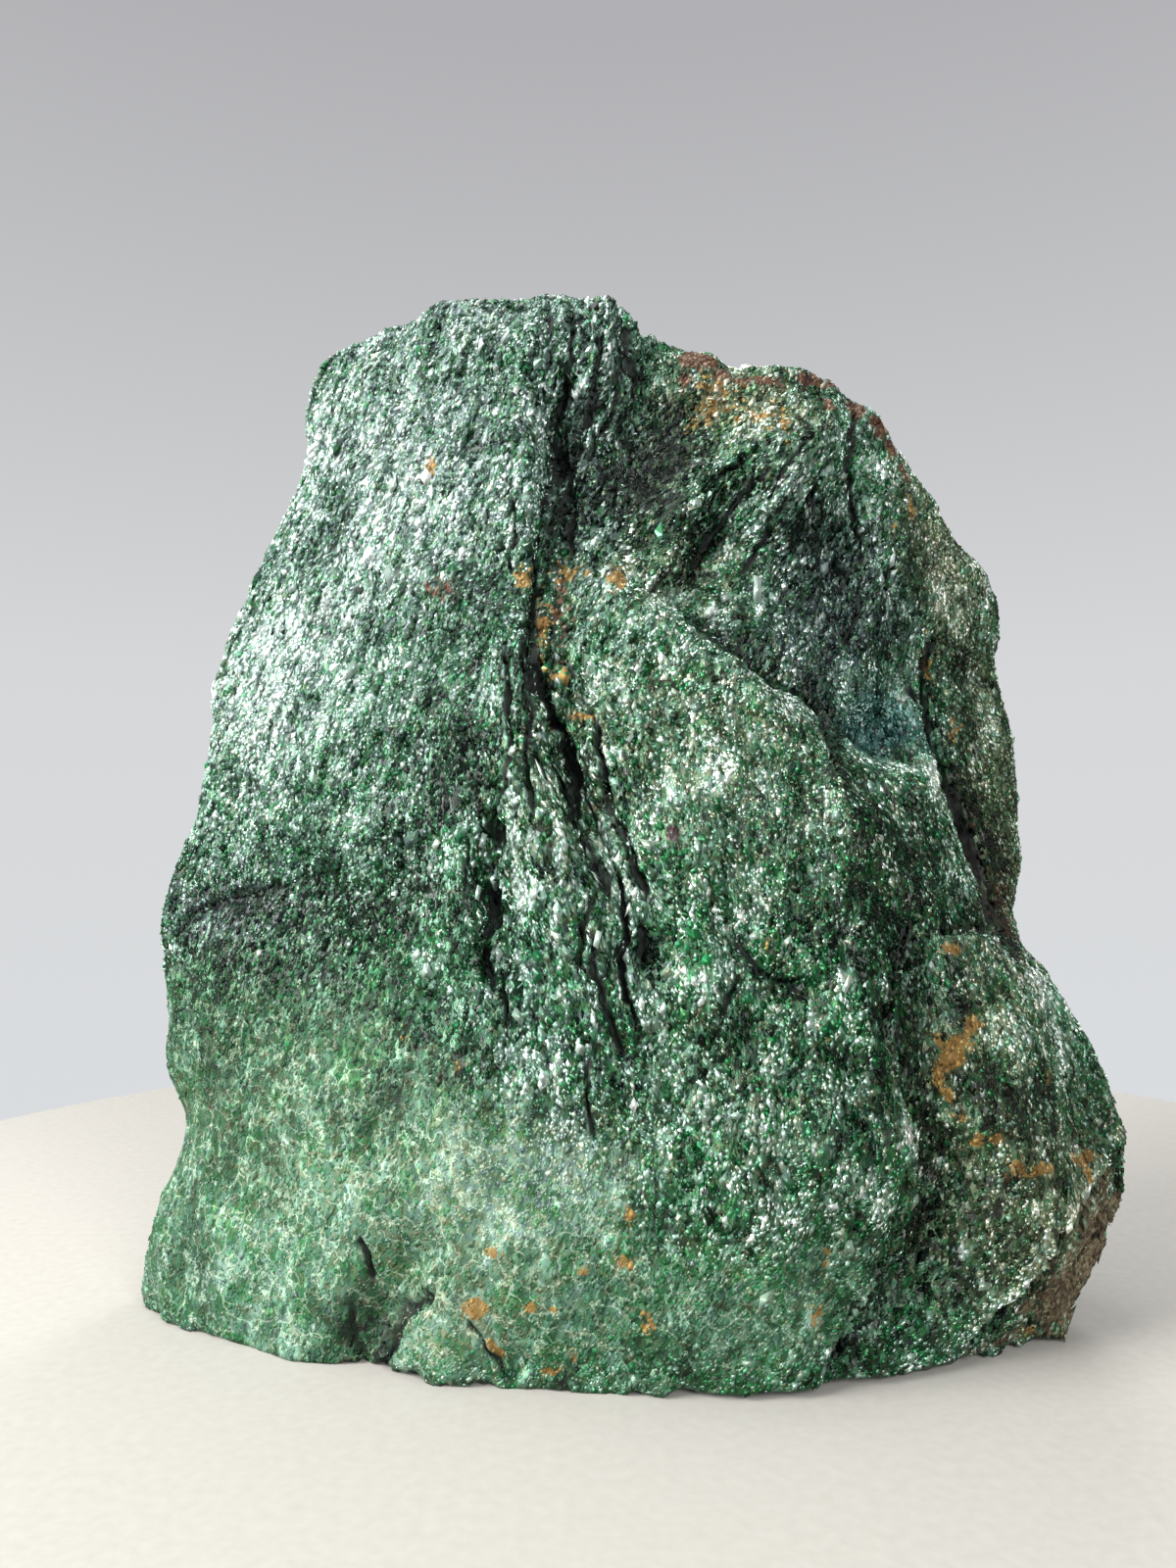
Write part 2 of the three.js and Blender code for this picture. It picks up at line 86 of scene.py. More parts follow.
# Cracks in the face. Left and right are those of somebody who follows the path.
FACE_CRACKS = [
    # the cleft and its layers, from the brow of the top block down
    crack([[-9.8, 176], [-12.2, 172], [-13.2, 167], [-12.4, 162], [-12.6, 158], [-13.2, 153], [-14.2, 147],
           [-15.6, 141], [-16.6, 133], [-17, 123]], 1.25, 4, 0, shade=[-0.1, 0.12]),
    crack([[-4.6, 172], [-7.4, 167.5], [-8.6, 163], [-10, 158.6], [-10.4, 154], [-10.2, 147],
           [-10.4, 140]], 1.05, 2.6, 0.3),
    crack([[-10.6, 170], [-11, 164], [-10.8, 157], [-11.8, 150], [-12.6, 144]], 0.5, 1, 0.2, dark=0.9),
    crack([[-6, 166], [-7, 160], [-8.2, 153], [-8, 146]], 0.5, 0.9, 0.2, dark=0.8),
    crack([[-9.4, 189.5], [-10.3, 179], [-11.8, 173]], 0.8, 1.5, 0.5),
    crack([[-4.5, 185], [-5.4, 175], [-7.3, 168]], 0.9, 1.6, 0.5),
    crack([[1.2, 189], [0.8, 185], [1.6, 181], [3.2, 178]], 1.7, 2.8, 0.8, dark=1),
    crack([[0.6, 180], [-1.1, 172.5], [-4.7, 165], [-6.5, 160]], 1, 1.8, 0.4),
    crack([[-14.1, 190], [-14.1, 184], [-14.6, 177]], 0.7, 1.1, 0.3),
    crack([[-21, 152], [-20, 144], [-21.5, 137]], 0.7, 1, 0.3),
    crack([[-17, 128], [-15.3, 118.5], [-14.4, 113]], 1.3, 2.2, 0, dark=0.5),
    # the two long cracks that run on from it
    crack([[-17.1, 123], [-15.4, 115], [-13, 109.6], [-10.6, 104.4], [-9.4, 99], [-8.4, 92], [-6.4, 86],
           [-4.2, 81.6], [-3.4, 78]], 1.05, 3, 0.6),
    crack([[-13.6, 113], [-11, 107], [-8, 101.6], [-7, 95], [-4.6, 89]], 0.5, 1, 0.3, dark=0.9),
    crack([[-5.6, 109], [-5, 102], [-4, 94.6], [-1.6, 88.6], [0.8, 83.2],
           [2.8, 78]], 1.05, 2.8, -0.9, shade=[0, 0.1]),
    crack([[-21.5, 123.5], [-21.2, 114], [-20.9, 105.6], [-21, 97],
           [-23.7, 92.5]], 0.8, 1.7, 0.4, shade=[-0.1, 0.08]),
    crack([[-18.2, 123.5], [-17.5, 116], [-16.2, 109], [-17.5, 104], [-16.6, 97],
           [-16, 91.5]], 0.8, 1.5, 0.3),
    # the black crack left of them
    crack([[-23.6, 93], [-22.7, 88], [-23.4, 82], [-22.9, 75.6], [-23.8, 68.5],
           [-22.6, 63]], 0.9, 3.4, 0.4, shade=[0.1, -0.12]),
    crack([[-20.8, 78.5], [-20.3, 70], [-21.3, 65.3], [-20.4, 57]], 0.8, 2.4, 0.3),
    crack([[-27.4, 88], [-27.8, 80]], 0.7, 1.3, 0),
    # cracks at the foot of the column
    crack([[-1.9, 82], [-0.7, 71.3], [-1.3, 65], [0.9, 58]], 0.9, 2.8, 0.4),
    crack([[1.4, 74], [2.2, 67]], 1.4, 1.6, 0),
    crack([[-6, 72], [-5.4, 66], [-4.1, 60.6], [-2.7, 56], [-1, 52.5]], 1, 2, 0.3),
    crack([[-6.8, 53], [-7.1, 46], [-6, 40]], 0.7, 1.1, 0.3),
    crack([[-5.5, 79], [-7.5, 73], [-8.5, 66]], 0.7, 1.2, 0.2),
    crack([[16.6, 72], [18.4, 69], [20.6, 66], [24.6, 64.4], [29.4, 61.8]], 0.75, 1.4, -0.7, dark=0.6),
    crack([[16.8, 65], [16, 62], [14.2, 59]], 0.6, 0.7, 0.3, dark=0.5),
    # right of the cleft: the slanting crack over the dark bowl, and the lines under the right shoulder
    crack([[22.5, 160.5], [19, 157.6], [16.2, 153.4], [14.8, 149], [11.2, 142.6], [8.4, 136.6],
           [4.6, 132.6]], 1.15, 3.4, -0.8, dark=1, shade=[-0.16, 0.14]),
    crack([[25, 158], [20, 150.6], [16.4, 145], [12, 136]], 0.7, 1.3, 0, dark=0.9),
    crack([[31, 153], [27, 146], [22, 138]], 0.8, 1.2, 0.3, dark=0.8),
    crack([[46.8, 174], [45, 163], [44.4, 157], [46, 148], [46.4, 141]], 0.9, 1.8, 0.5),
    crack([[46.3, 139], [45.5, 132.7], [41.8, 125]], 0.8, 1.2, 0.3),
    crack([[36, 166], [30, 158], [26.5, 152]], 0.7, 1, 0.3),
    crack([[41, 163], [38, 157], [36.5, 150]], 0.7, 1, 0.3),
    # rim of the belly under the slate hollow, the pocket, and the gap in front of the slab
    crack([[9.3, 130.6], [13, 125], [17.8, 121.7], [23.7, 117.8], [29.2, 116], [33, 113.6], [35.5, 111],
           [36, 105.8], [36.6, 99.5]], 1, 2.8, -1.2, shade=[-0.3, 0.16]),
    crack([[41, 108], [44.8, 104.7], [49.7, 103], [56.5, 102.4]], 1.2, 1.6, -1.2, shade=[-0.15, 0.18]),
    crack([[55.5, 119], [58.5, 111.6], [61.4, 104.5], [63.3, 98]], 1, 1.6, 0),
    crack([[61.5, 128], [58.7, 120], [59.3, 112], [61.3, 102.5], [64.3, 93], [66.6, 84], [67, 76.5],
           [69, 68.5]], 1.5, 3.8, 0, shade=[-0.25, 0.12]),
    crack([[63, 101], [66.5, 90], [69, 80], [70.5, 70]], 2.2, 3, 0, shade=[-0.3, 0.12]),
    # right of the belly, and the broken edge of the lobe
    crack([[49, 75], [46.8, 69], [45.4, 63.5], [42.7, 58],
           [43, 52]], 2.2, 2.4, -0.6, dark=0.35, shade=[0.06, -0.16]),
    crack([[45.5, 51], [47.4, 43], [48.3, 35], [46.8, 27], [43, 20.5], [37.6, 14], [33.6, 7.7],
           [30, 2]], 1.5, 2, -0.9, dark=0.35, shade=[-0.16, 0.14]),
    crack([[66.5, 71], [60, 72.4], [54, 71.6]], 1, 1.6, 0.8, dark=0.5, shade=[0.14, -0.2]),
    crack([[89.5, 32], [83, 26.4], [77, 23.6], [73.4, 19.6], [71.6, 15], [66.4, 11.5], [61, 8.8],
           [56, 3]], 1.1, 2, -1.6, dark=0.5, shade=[-0.05, 0.24]),
    crack([[90.5, 20], [82, 15.5], [75.5, 9]], 0.9, 1.4, -0.5),
    # foot: the notch, the cracks beside it, and the dark band on the left
    crack([[-32.6, 14.6], [-34.6, 12.8], [-37.6, 10.4], [-40, 6],
           [-41, 0]], 1.6, 2.6, 0.9, dark=0.6, shade=[0.06, -0.1]),
    crack([[-47, 11], [-46, 4], [-44, 0]], 1.6, 1.3, 0, dark=0.35),
    crack([[-45.2, 21.5], [-43.8, 18.4], [-42.4, 14.2]], 1, 1.8, 0, dark=1),
    crack([[-26.2, 11], [-24.2, 9.6], [-23, 6.8], [-21, 5], [-20.2, 1.4]], 0.55, 1.1, 0.4, dark=0.5),
    crack([[-87, 69], [-81.5, 74.4], [-73.4, 77.3], [-65.5, 79.2],
           [-57, 81.3]], 1.8, 0.8, 0.3, shade=[0.05, -0.18]),
]

# Cracks in the back.
BACK_CRACKS = [
    crack([[-30, 182], [-27, 168], [-25.4, 152], [-25.8, 138], [-27.5, 124],
           [-27, 112]], 0.9, 2.2, 0.8, dark=0.7),
    crack([[-26, 106], [-25, 92], [-22.6, 78], [-22, 64], [-23.6, 50]], 0.8, 1.9, -0.8, dark=0.6),
    crack([[-16, 96], [-15.4, 84], [-13.6, 72]], 0.5, 1, 0.3, dark=0.5),
    crack([[36, 166], [34.6, 152], [32, 138], [32.4, 122]], 0.8, 2, 0.8, dark=0.7),
    crack([[43, 148], [41.6, 136], [42.4, 124]], 0.5, 1, 0.3, dark=0.5),
    crack([[-60, 104], [-59.4, 84], [-57.6, 64], [-58.4, 44], [-60, 30]], 0.7, 1.7, 0.8, dark=0.5),
    crack([[54, 102], [52.6, 84], [49.4, 66], [49, 50], [51, 34]], 0.8, 2, -0.9, dark=0.6),
    crack([[-1, 170], [2.4, 154], [3.6, 138], [6.2, 122]], 0.6, 1.3, 0.5, dark=0.5),
    crack([[12, 62], [13.4, 46], [11.6, 30]], 0.5, 1.2, 0.4, dark=0.4),
    crack([[-43, 62], [-41, 46], [-41.6, 30]], 0.5, 1.1, 0.4, dark=0.4),
    crack([[-52, 152], [-49.4, 136], [-49, 120]], 0.6, 1.2, 0.5, dark=0.5),
]

# Lumps and pockets that are smaller than the solid's facets: a spot, and how far it rises.
FACE_BUMPS = [
    ((-7.6, 121, 3.4, 5.6), 1.3),  # green lump beside the cleft
    ((-8.3, 113.4, 3, 2.4), -2.2),  # pocket under it
    ((-22.5, 69.5, 2.6, 3.4), -1.6),  # foot of the black crack
    ((48, 108.5, 7, 3.6), -1.4),  # floor of the teal pocket
    ((3, 69, 2.4, 3.6), -1.2),
    ((11.5, 65.5, 6, 4.4), 1.5),  # bright boss beside it
    ((25.5, 64, 4, 2.4), -1.1),   # fold to the right of the boss
    ((16, 183, 4, 2.6), 1),       # rusty knobs along the right shoulder
    ((36, 181, 4.5, 2.4), 1.2),
    ((50, 173, 4, 3), 0.8),
    ((68, 122, 3.6, 3.6), -1.6),  # dark hole in the slab
    ((81, 84, 3, 6), 0.8),
    ((7.1, 88.8, 1.3, 1.6), 0.55),  # the garnet grain
]
# The spot of the garnet grain.
GARNET = (7.1, 88.8, 1.15, 1.45)

# How far the layers lean over to the right per millimetre of height, around a place: x, z, lean.
LEANS = [
    (-60, 160, 0.45), (-35, 170, 0.3), (-25, 140, 0.35), (-8, 182, 0.2), (-8, 160, 0.25), (5, 172, 0.4),
    (8, 150, 0.6), (25, 160, 0.8), (25, 140, 0.8), (40, 165, 0.6), (55, 160, 0.1), (42, 130, 0.2),
    (70, 140, 0.2), (70, 105, -0.1), (62, 90, -0.35), (-60, 110, 0.3), (-30, 110, 0.2), (-15, 105, -0.15),
    (-3, 85, -0.4), (-18, 70, -0.1), (-3, 60, -0.2), (25, 95, 0.2), (30, 60, 0.15), (10, 40, 0.1),
    (-70, 60, 0.1), (-50, 50, 0.4), (-60, 20, 0.3), (60, 50, 0.1), (75, 40, -0.5), (60, 22, 0.9),
    (30, 15, 0.8), (-30, 15, 0.5),
]
LEAN_REACH = 18

# Patches of the face: a spot, its tone and its shares.
FACE_PATCHES = [
    patch((-42, 160, 30, 32), 0.24, layers=0.5, slate=0.75, silk=1),  # upper left plane
    patch((-64, 122, 20, 28), 0.29, layers=0.3, slate=0.6, silk=0.8),  # left edge
    patch((-25, 190, 20, 8), 0.02, layers=0.6, slate=0.6, silk=0.6),  # brow of the top block
    patch((-4, 180, 8, 14), 0.04, layers=1, slate=0.6),  # draped layers
    patch((-8, 158, 5, 20), -0.08, layers=1, slate=0.8, olive=0.1),
    # The dark bowl's low tone is partly painted shade, from the top block beside it.
    patch((4, 160, 9, 14), -0.7, layers=0.4, slate=0.6, olive=0.4, fuzz=0.4),  # dark bowl
    patch((8, 138, 12, 8), 0, olive=0.5),  # bright patch under it
    patch((30, 160, 12, 12), -0.03, layers=0.9, slate=0.3, olive=0.3),  # light ridge
    patch((24, 174, 14, 8), 0.04, layers=0.5, olive=0.9),  # right shoulder
    # The slate hollow's low tone is partly painted shade, under the ridges around it.
    patch((40, 138, 14, 14), -0.25, layers=0.8, slate=0.9),  # slate hollow
    patch((34, 124, 16, 10), -0.08, slate=0.9, teal=0.2),
    patch((47, 109, 10, 6), 0.17, slate=0.6, teal=1),  # teal pocket
    patch((64, 146, 10, 20), 0.11, olive=0.85),  # rounded right rim
    patch((73, 95, 9, 32), 0.05, olive=0.8),  # slab
    patch((18, 104, 24, 22), 0.05, olive=0.45),  # belly
    patch((46, 85, 14, 16), -0.1, olive=0.35),
    patch((-38, 118, 20, 18), -0.11, slate=0.3, silk=0.4),  # middle left
    patch((-52, 95, 24, 12), 0, slate=0.4, silk=0.4),
    patch((-10, 95, 12, 26), 0, layers=0.9, slate=0.2, olive=0.35),
    patch((-12, 62, 14, 22), 0.02, layers=0.4, slate=0.4),
    patch((-76, 74, 14, 8), -0.12, slate=1, fuzz=0.3),  # dark band
    patch((-52, 68, 26, 12), -0.2, fuzz=0.2),  # emerald part under it
    patch((-60, 52, 28, 14), -0.16, olive=0.3, fuzz=0.7),  # lower left face
    patch((-62, 34, 30, 14), -0.05, olive=0.4, fuzz=1),
    patch((-70, 12, 26, 14), 0.02, slate=0.2, olive=0.2, fuzz=1),  # left foot
    patch((-28, 14, 22, 12), -0.04, olive=0.5, fuzz=1),
    patch((-20, 34, 20, 14), 0.14, slate=0.4, olive=0.4, fuzz=0.8),  # dusty pale patch
    patch((10, 15, 30, 12), -0.06, layers=0.3, olive=0.2, fuzz=0.7),
    patch((22, 48, 24, 24), -0.02, layers=0.3, olive=0.25),
    patch((60, 56, 14, 14), -0.06, olive=0.6, fuzz=0.3),  # top of the lobe
    patch((76, 54, 12, 10), 0.26, olive=0.2),
    patch((66, 30, 22, 18), -0.06, olive=0.7, fuzz=0.1),  # lobe
    patch((82, 12, 14, 14), 0.02, layers=0.8, olive=1, fuzz=0.4),  # brown edge
]

# Smaller light and dark spots that lie over those, under what each adds to the tone: partly the mica's
# own paleness, partly painted highlights where it glints and painted shade where the face lies in shadow.
FACE_LIGHT_AND_TONE = {
    0.5: [(24.6, 133.9, 1.2, 3)],
    0.42: [(-19, 93, 2.6, 2.8)],
    0.4: [(15.5, 130.5, 1.4, 1.8), (35, 64.5, 1.3, 2.6, -0.4)],
    0.36: [(36, 55.2, 2.6, 1.1)],
    0.34: [(-32, 87, 3, 2.6), (-36, 68, 4.4, 3)],
    0.3: [(8.2, 95.8, 1.4, 1.8), (65, 53.5, 3.6, 4), (31, 153, 1.8, 6, -0.75), (58, 101, 3, 4)],
    0.28: [(-16.5, 77.5, 3, 3.6)],
    0.26: [(70, 25, 1.8, 4, -0.6), (37, 160, 2.2, 6, -0.6)],
    0.25: [(-50, 47.5, 2.4, 2.4)],
    0.24: [(64, 13.5, 2, 4.4, -0.8), (25, 147.5, 1.5, 5.5, -0.6)],
    0.22: [(11.5, 66, 5.4, 3.4)],
    0.2: [(-55, 33, 2.4, 3), (8, 132, 5, 3), (53, 119, 3, 4), (17, 154, 1, 2.4, -0.5), (48, 103, 6, 2)],
    0.18: [(-12.4, 87, 2.4, 4), (73, 60, 4, 3)],
    0.16: [(20, 127, 4, 3), (-50, 108, 8, 7), (20.5, 142, 1.4, 4, -0.6)],
    0.14: [(14, 98, 4, 5), (-70, 108, 7, 10), (13, 153.5, 1.8, 4, -0.4), (40, 168, 6, 4), (20, 136, 5, 4)],
    0.12: [(-40, 122, 8, 6), (-24, 113, 3, 5), (4, 57, 4, 6), (9, 93, 5, 7), (26, 26, 7, 6),
        (43, 150, 1.6, 9), (68, 140, 5, 6)],
    0.1: [(-60, 168, 6, 8), (16, 104, 5, 6), (14, 76, 7, 4), (31, 56, 6, 5), (-22, 27, 8, 5), (-56, 42, 6, 6),
        (-60, 16, 8, 5), (5, 132, 5, 4), (70, 62, 5, 4)],
    0.08: [(-45, 145, 8, 10), (-30, 150, 8, 10), (-76, 92, 5, 6), (-66, 128, 8, 12), (-14, 46, 7, 8),
        (-8, 36, 6, 6), (-50, 29, 7, 5), (-31, 5.5, 6, 5), (74, 34, 6, 4)],
    0.06: [(-21, 26, 6, 3), (44, 116, 5, 4), (-58, 172, 8, 8), (-46, 90, 6, 4), (-15, 70, 4, 6),
        (-27, 70, 4, 6), (25, 110, 6, 5), (20, 10, 7, 5), (74, 112, 4, 6), (84, 56, 5, 6)],
    0.04: [(-3, 112, 4, 5), (34, 82, 7, 6), (16, 46, 7, 6)],
    0.02: [(-46, 17, 5, 4)],
    -0.04: [(-58, 60, 14, 10), (10, 32, 7, 6), (-4, 14, 7, 5)],
    -0.06: [(-52, 128, 6, 6), (-60, 88, 8, 5), (-62, 62, 8, 6), (-74, 52, 7, 7), (-70, 32, 6, 5),
        (86, 40, 5, 5)],
    -0.08: [(-30, 178, 8, 6), (-30, 52, 6, 7), (1, 104, 4, 6), (22, 88, 6, 5), (12, 60, 6, 6), (36, 12, 7, 6),
        (-38, 48, 5, 6)],
    -0.1: [(-24, 160, 6, 18), (-37, 102, 6, 5), (32, 96, 6, 6), (42, 76, 6, 5), (40, 44, 6, 7), (46, 8, 6, 5),
        (-45, 42, 7, 6), (-80, 12, 6, 6), (72, 84, 4, 10), (58, 60, 3, 5)],
    -0.12: [(-40, 76, 5, 4), (44, 95, 5, 8), (58, 148, 4, 6), (56, 20, 6, 7), (64, 10, 7, 5)],
    -0.14: [(-61, 146, 3, 6), (-46, 126, 4, 3), (-13, 150, 3, 16), (-27, 126, 3, 7), (38, 72, 6, 4),
        (12, 168, 4, 6), (-2, 150, 4, 6)],
    -0.16: [(-49, 104, 3, 3), (-56, 80, 4, 3), (30, 74, 8, 5), (-30, 136, 8, 5), (-50, 73, 10, 5),
        (24, 143, 3, 5, -0.5), (49.5, 36, 1.4, 8), (42, 26, 6, 6), (52, 124, 5, 7), (66, 46, 4, 5)],
    -0.18: [(-57, 150, 4, 7), (-2, 48, 4, 7), (50, 84, 5, 8)],
    -0.2: [(-57, 170, 2.4, 4), (-28, 164, 3, 3), (-63, 112, 3, 4), (-44, 88, 3, 3)],
    -0.24: [(-14, 124, 2.2, 8), (70, 45, 8, 3, 0.2), (12, 146, 3, 4)],
    -0.26: [(14, 141, 1.6, 6, -0.5), (27.5, 142.5, 2.6, 6, -0.5), (68, 124, 4, 5)],
    -0.3: [(-41, 4, 1.6, 4), (-38, 85, 4, 5), (-17, 104, 1.6, 4), (18, 147, 1.8, 8, -0.6)],
    -0.32: [(-24.4, 96, 2.6, 4), (36, 149, 3.4, 6, -0.15)],
    -0.34: [(46, 62, 2, 8)],
    -0.35: [(67.5, 92, 2, 8)],
    -0.36: [(-33, 93.5, 4, 4), (40, 87, 2, 2), (55, 64.5, 2.4, 2.4)],
    -0.4: [(71, 77, 3, 11), (-47, 5, 3.4, 4.4), (-14, 82.4, 1.8, 1.8), (3.4, 69, 1.8, 3.4),
        (40.5, 59.5, 1.8, 1.5), (58, 48.4, 2.4, 2.4)],
    -0.42: [(-26.5, 105, 3.4, 4.4)],
    -0.45: [(25, 64, 4, 1.5, -0.55), (32, 53, 4.4, 1.6)],
    -0.5: [(-35, 115.5, 1, 4.5), (37.8, 67.2, 1.7, 1.7), (57, 58.8, 1.7, 1.7)],
}

# Patches of the back.
BACK_PATCHES = [
    patch((-30, 150, 34, 34), 0.18, layers=0.6),
    patch((30, 150, 30, 30), -0.05, layers=0.6, olive=0.3),
    patch((30, 90, 30, 30), 0.08),
    patch((-40, 90, 30, 30), -0.08, layers=0.4, slate=0.3),
    patch((-10, 30, 40, 24), 0, fuzz=0.8),
    patch((60, 40, 24, 24), -0.1, olive=0.4, fuzz=0.4),
    patch((-60, 30, 24, 24), 0.06, fuzz=0.7),
    patch((14, 184, 20, 8), 0, olive=0.7),
]

# Large single flakes: x, z, length, width, and how far the top leans to the right, in radians.
FLAKES = [
    (24.8, 134, 6, 1.8, -0.05), (18, 132.6, 2.4, 1.5, 0.8), (15.4, 129.4, 2.2, 1.7, 0.3),
    (-25.4, 87.4, 2.8, 1.2, 0.15), (-5.2, 71.4, 3, 1.2, 0.1), (-19.2, 103, 1.8, 1.4, 0.4),
    (-18.6, 94, 1.8, 1.4, 0.9), (-15.2, 78.6, 1.9, 1.4, 0.2), (-33, 86.8, 1.8, 1.4, 0.3),
    (-26, 79, 2.8, 0.9, 0.1), (-36.4, 68, 2, 1.5, 0.6), (58.6, 101.4, 2.4, 1.3, 0.2),
    (34.8, 64.6, 3.2, 1.1, 0.4),
]

# Spots of ochre and rust, under their strength.
FACE_OCHRE = {
    1.1: [(54.8, 52.2, 2, 3.6, -0.7)],
    1: [(-36.7, 158.3, 0.9, 2), (-18.7, 135.4, 1.6, 2.2), (-1.7, 134.8, 1.8, 2.2), (-12.5, 116.4, 1.2, 1),
        (58.3, 56.2, 1.5, 1.9, -0.7), (52.2, 48.6, 1.3, 2.4), (-24.8, 12.8, 1.8, 1.4), (-16, 13.4, 1.8, 0.7)],
    0.9: [(-8.2, 109.2, 2.8, 0.8), (58, 155, 1, 3), (53.4, 44.6, 0.8, 2.4, 0.45), (61.3, 37.8, 1.3, 1),
        (69.4, 32.2, 2.8, 1), (80.4, 31.6, 2.4, 1.4), (-0.5, 28.7, 0.9, 1.8)],
    0.85: [(58, 37.6, 1.3, 1.3)],
    0.8: [(-13.2, 108, 0.8, 1.6), (52, 54, 0.7, 1.8, 0.5), (55.4, 41.4, 1, 1), (65, 32.8, 1.6, 1.6),
        (81, 29.4, 1.2, 1.6), (55.7, 69, 2.6, 1), (-22, 21.6, 1.8, 1), (-12.8, 3.4, 1.4, 1),
        (60, 122, 0.8, 5.5)],
    0.75: [(66.6, 32, 3.6, 0.7, 0.1), (-21.6, 6.4, 0.8, 2.6, 0.6)],
    0.7: [(31.5, 169, 1.2, 4.2), (53, 149, 0.9, 1.6), (73, 47, 0.9, 0.7), (69, 2.6, 2, 1), (-7, 19.4, 1.8, 1),
        (-13.2, 13.2, 1.2, 0.8), (2.4, 12, 1.6, 2), (30.6, 21, 1.2, 2.2), (29, 12.6, 1.2, 2.6)],
    0.62: [(-15, 127, 1.8, 8)],
    0.6: [(-11, 137, 4, 2.4), (76, 38, 1.2, 0.8), (-0.6, 21, 2.6, 1.4), (-9.3, 6, 0.8, 1.2)],
    0.56: [(16.5, 171, 3.4, 6, -0.5)],
    0.55: [(18, 177, 6, 2.4), (23, 71, 1.6, 1.4), (64.5, 110, 1.8, 4)],
    0.5: [(31.6, 55.7, 1.2, 0.6)],
    0.48: [(26, 171, 6, 4.4, -0.5)],
    0.35: [(-28, 50, 2.4, 2.4), (-38.5, 54.9, 1.4, 2)],
}
FACE_RUST = {
    1: [(15, 183, 4.4, 2.6), (38, 180, 5, 1.6), (47, 175, 2, 2.6), (52, 171.5, 2.6, 2.2)],
    0.9: [(40.6, 174, 1.2, 2), (54.5, 167, 1.8, 2.6)],
    0.86: [(85, 15, 9, 11)],
    0.8: [(19.5, 180, 2.6, 2.2), (27, 178.6, 6, 1.3), (76, 8, 7, 7), (68, 8, 2.4, 1.6)],
    0.7: [(12, 178.5, 1.4, 3), (10.6, 59.6, 0.9, 2)],
    0.6: [(57, 162, 1.4, 2.6), (67, 82, 2.6, 12), (73, 74, 3.6, 8), (86, 27, 3.6, 4), (66, 3, 6, 3)],
    0.55: [(-12, 130, 3, 10)],
    0.52: [(-34, 134, 5, 4)],
    0.5: [(60, 2.5, 6, 1.2), (-6.2, 92.6, 0.9, 2)],
}
BACK_OCHRE = {
    0.9: [(-48, 142, 2.4, 1.4), (48, 52, 2.6, 3)],
    0.8: [(22, 118, 3, 1.6), (-12, 70, 2.2, 1.2)],
    0.7: [(-40, 138, 1.2, 3.4), (28, 112, 1.4, 4.4), (-66, 40, 2, 3), (4, 24, 3, 1.4), (62, 20, 2, 1.4)],
}
BACK_RUST = {
    1: [(38, 176, 7, 2.6)],
    0.9: [(20, 180, 8, 2.4)],
    0.8: [(54, 164, 3, 4)],
    0.7: [(76, 76, 4, 7), (84, 22, 5, 3)],
    0.6: [(34, 140, 1.4, 8)],
    0.5: [(-24, 128, 1.2, 8)],
}

# ---------------------------------------------------------------------------------------------
# Noise and fields over the stone, all in millimetres and worked out for many points at once.
# ---------------------------------------------------------------------------------------------

LATTICE = np.tile(np.random.default_rng(SEED).permutation(256), 2)
GRADIENTS = np.array([[1, 1, 0], [-1, 1, 0], [1, -1, 0], [-1, -1, 0], [1, 0, 1], [-1, 0, 1], [1, 0, -1],
                      [-1, 0, -1], [0, 1, 1], [0, -1, 1], [0, 1, -1], [0, -1, -1]], float)
OCTAVE_SHIFT = 17.3      # keeps the octaves of a noise apart


def gradient_noise(points):
    """Smooth noise from about -1 to 1 at each row of points, with features about one unit wide."""
    cell = np.floor(points).astype(int)
    part = points - cell
    fade = part ** 3 * (part * (part * 6 - 15) + 10)
    total = np.zeros(len(points))
    for step in np.ndindex(2, 2, 2):
        corner = (cell + step) & 255
        pick = LATTICE[LATTICE[LATTICE[corner[:, 0]] + corner[:, 1]] + corner[:, 2]]
        slope = (GRADIENTS[pick % len(GRADIENTS)] * (part - step)).sum(1)
        total += np.prod(np.where(step, fade, 1 - fade), axis=1) * slope
    return total


def layered_noise(points, size, octaves=3, shift=0.0):
    """Octaves of noise. size is one number, or one for each axis."""
    total = np.zeros(len(points))
    for octave in range(octaves):
        total += gradient_noise(points / size * 2 ** octave + shift + OCTAVE_SHIFT * octave) / 2 ** octave
    return total


def smoothstep(value, low, high):
    """0 below low and 1 above high, smooth between."""
    share = np.clip((value - low) / (high - low), 0, 1)
    return share * share * (3 - 2 * share)


def to_path(path, x, z):
    """Distance to a path, the side of it (1 is left of the way it runs) and the share along."""
    distance = np.full(len(x), np.inf)
    side, along = np.zeros(len(x)), np.zeros(len(x))
    for number, ((ax, az), (bx, bz)) in enumerate(zip(path, path[1:])):
        dx, dz = bx - ax, bz - az
        share = np.clip(((x - ax) * dx + (z - az) * dz) / (dx * dx + dz * dz), 0, 1)
        here = np.hypot(x - ax - share * dx, z - az - share * dz)
        nearer = here < distance
        distance = np.where(nearer, here, distance)
        side = np.where(nearer, np.sign(dx * (z - az) - dz * (x - ax)), side)
        along = np.where(nearer, (number + share) / (len(path) - 1), along)
    return distance, side, along


RUN_OUT = -0.06, 0.12    # a crack thins out between these shares of its length, from either end
SIDE_ON = -0.05, 0.3     # a point comes to belong to a side between these, by how far it faces that way


def run_out(along):
    return smoothstep(along, *RUN_OUT) * smoothstep(1 - along, *RUN_OUT)


def facing(normals):
    """How far each point belongs to the face, and to the back: 0 to 1 each."""
    return smoothstep(-normals[:, 1], *SIDE_ON), smoothstep(normals[:, 1], *SIDE_ON)


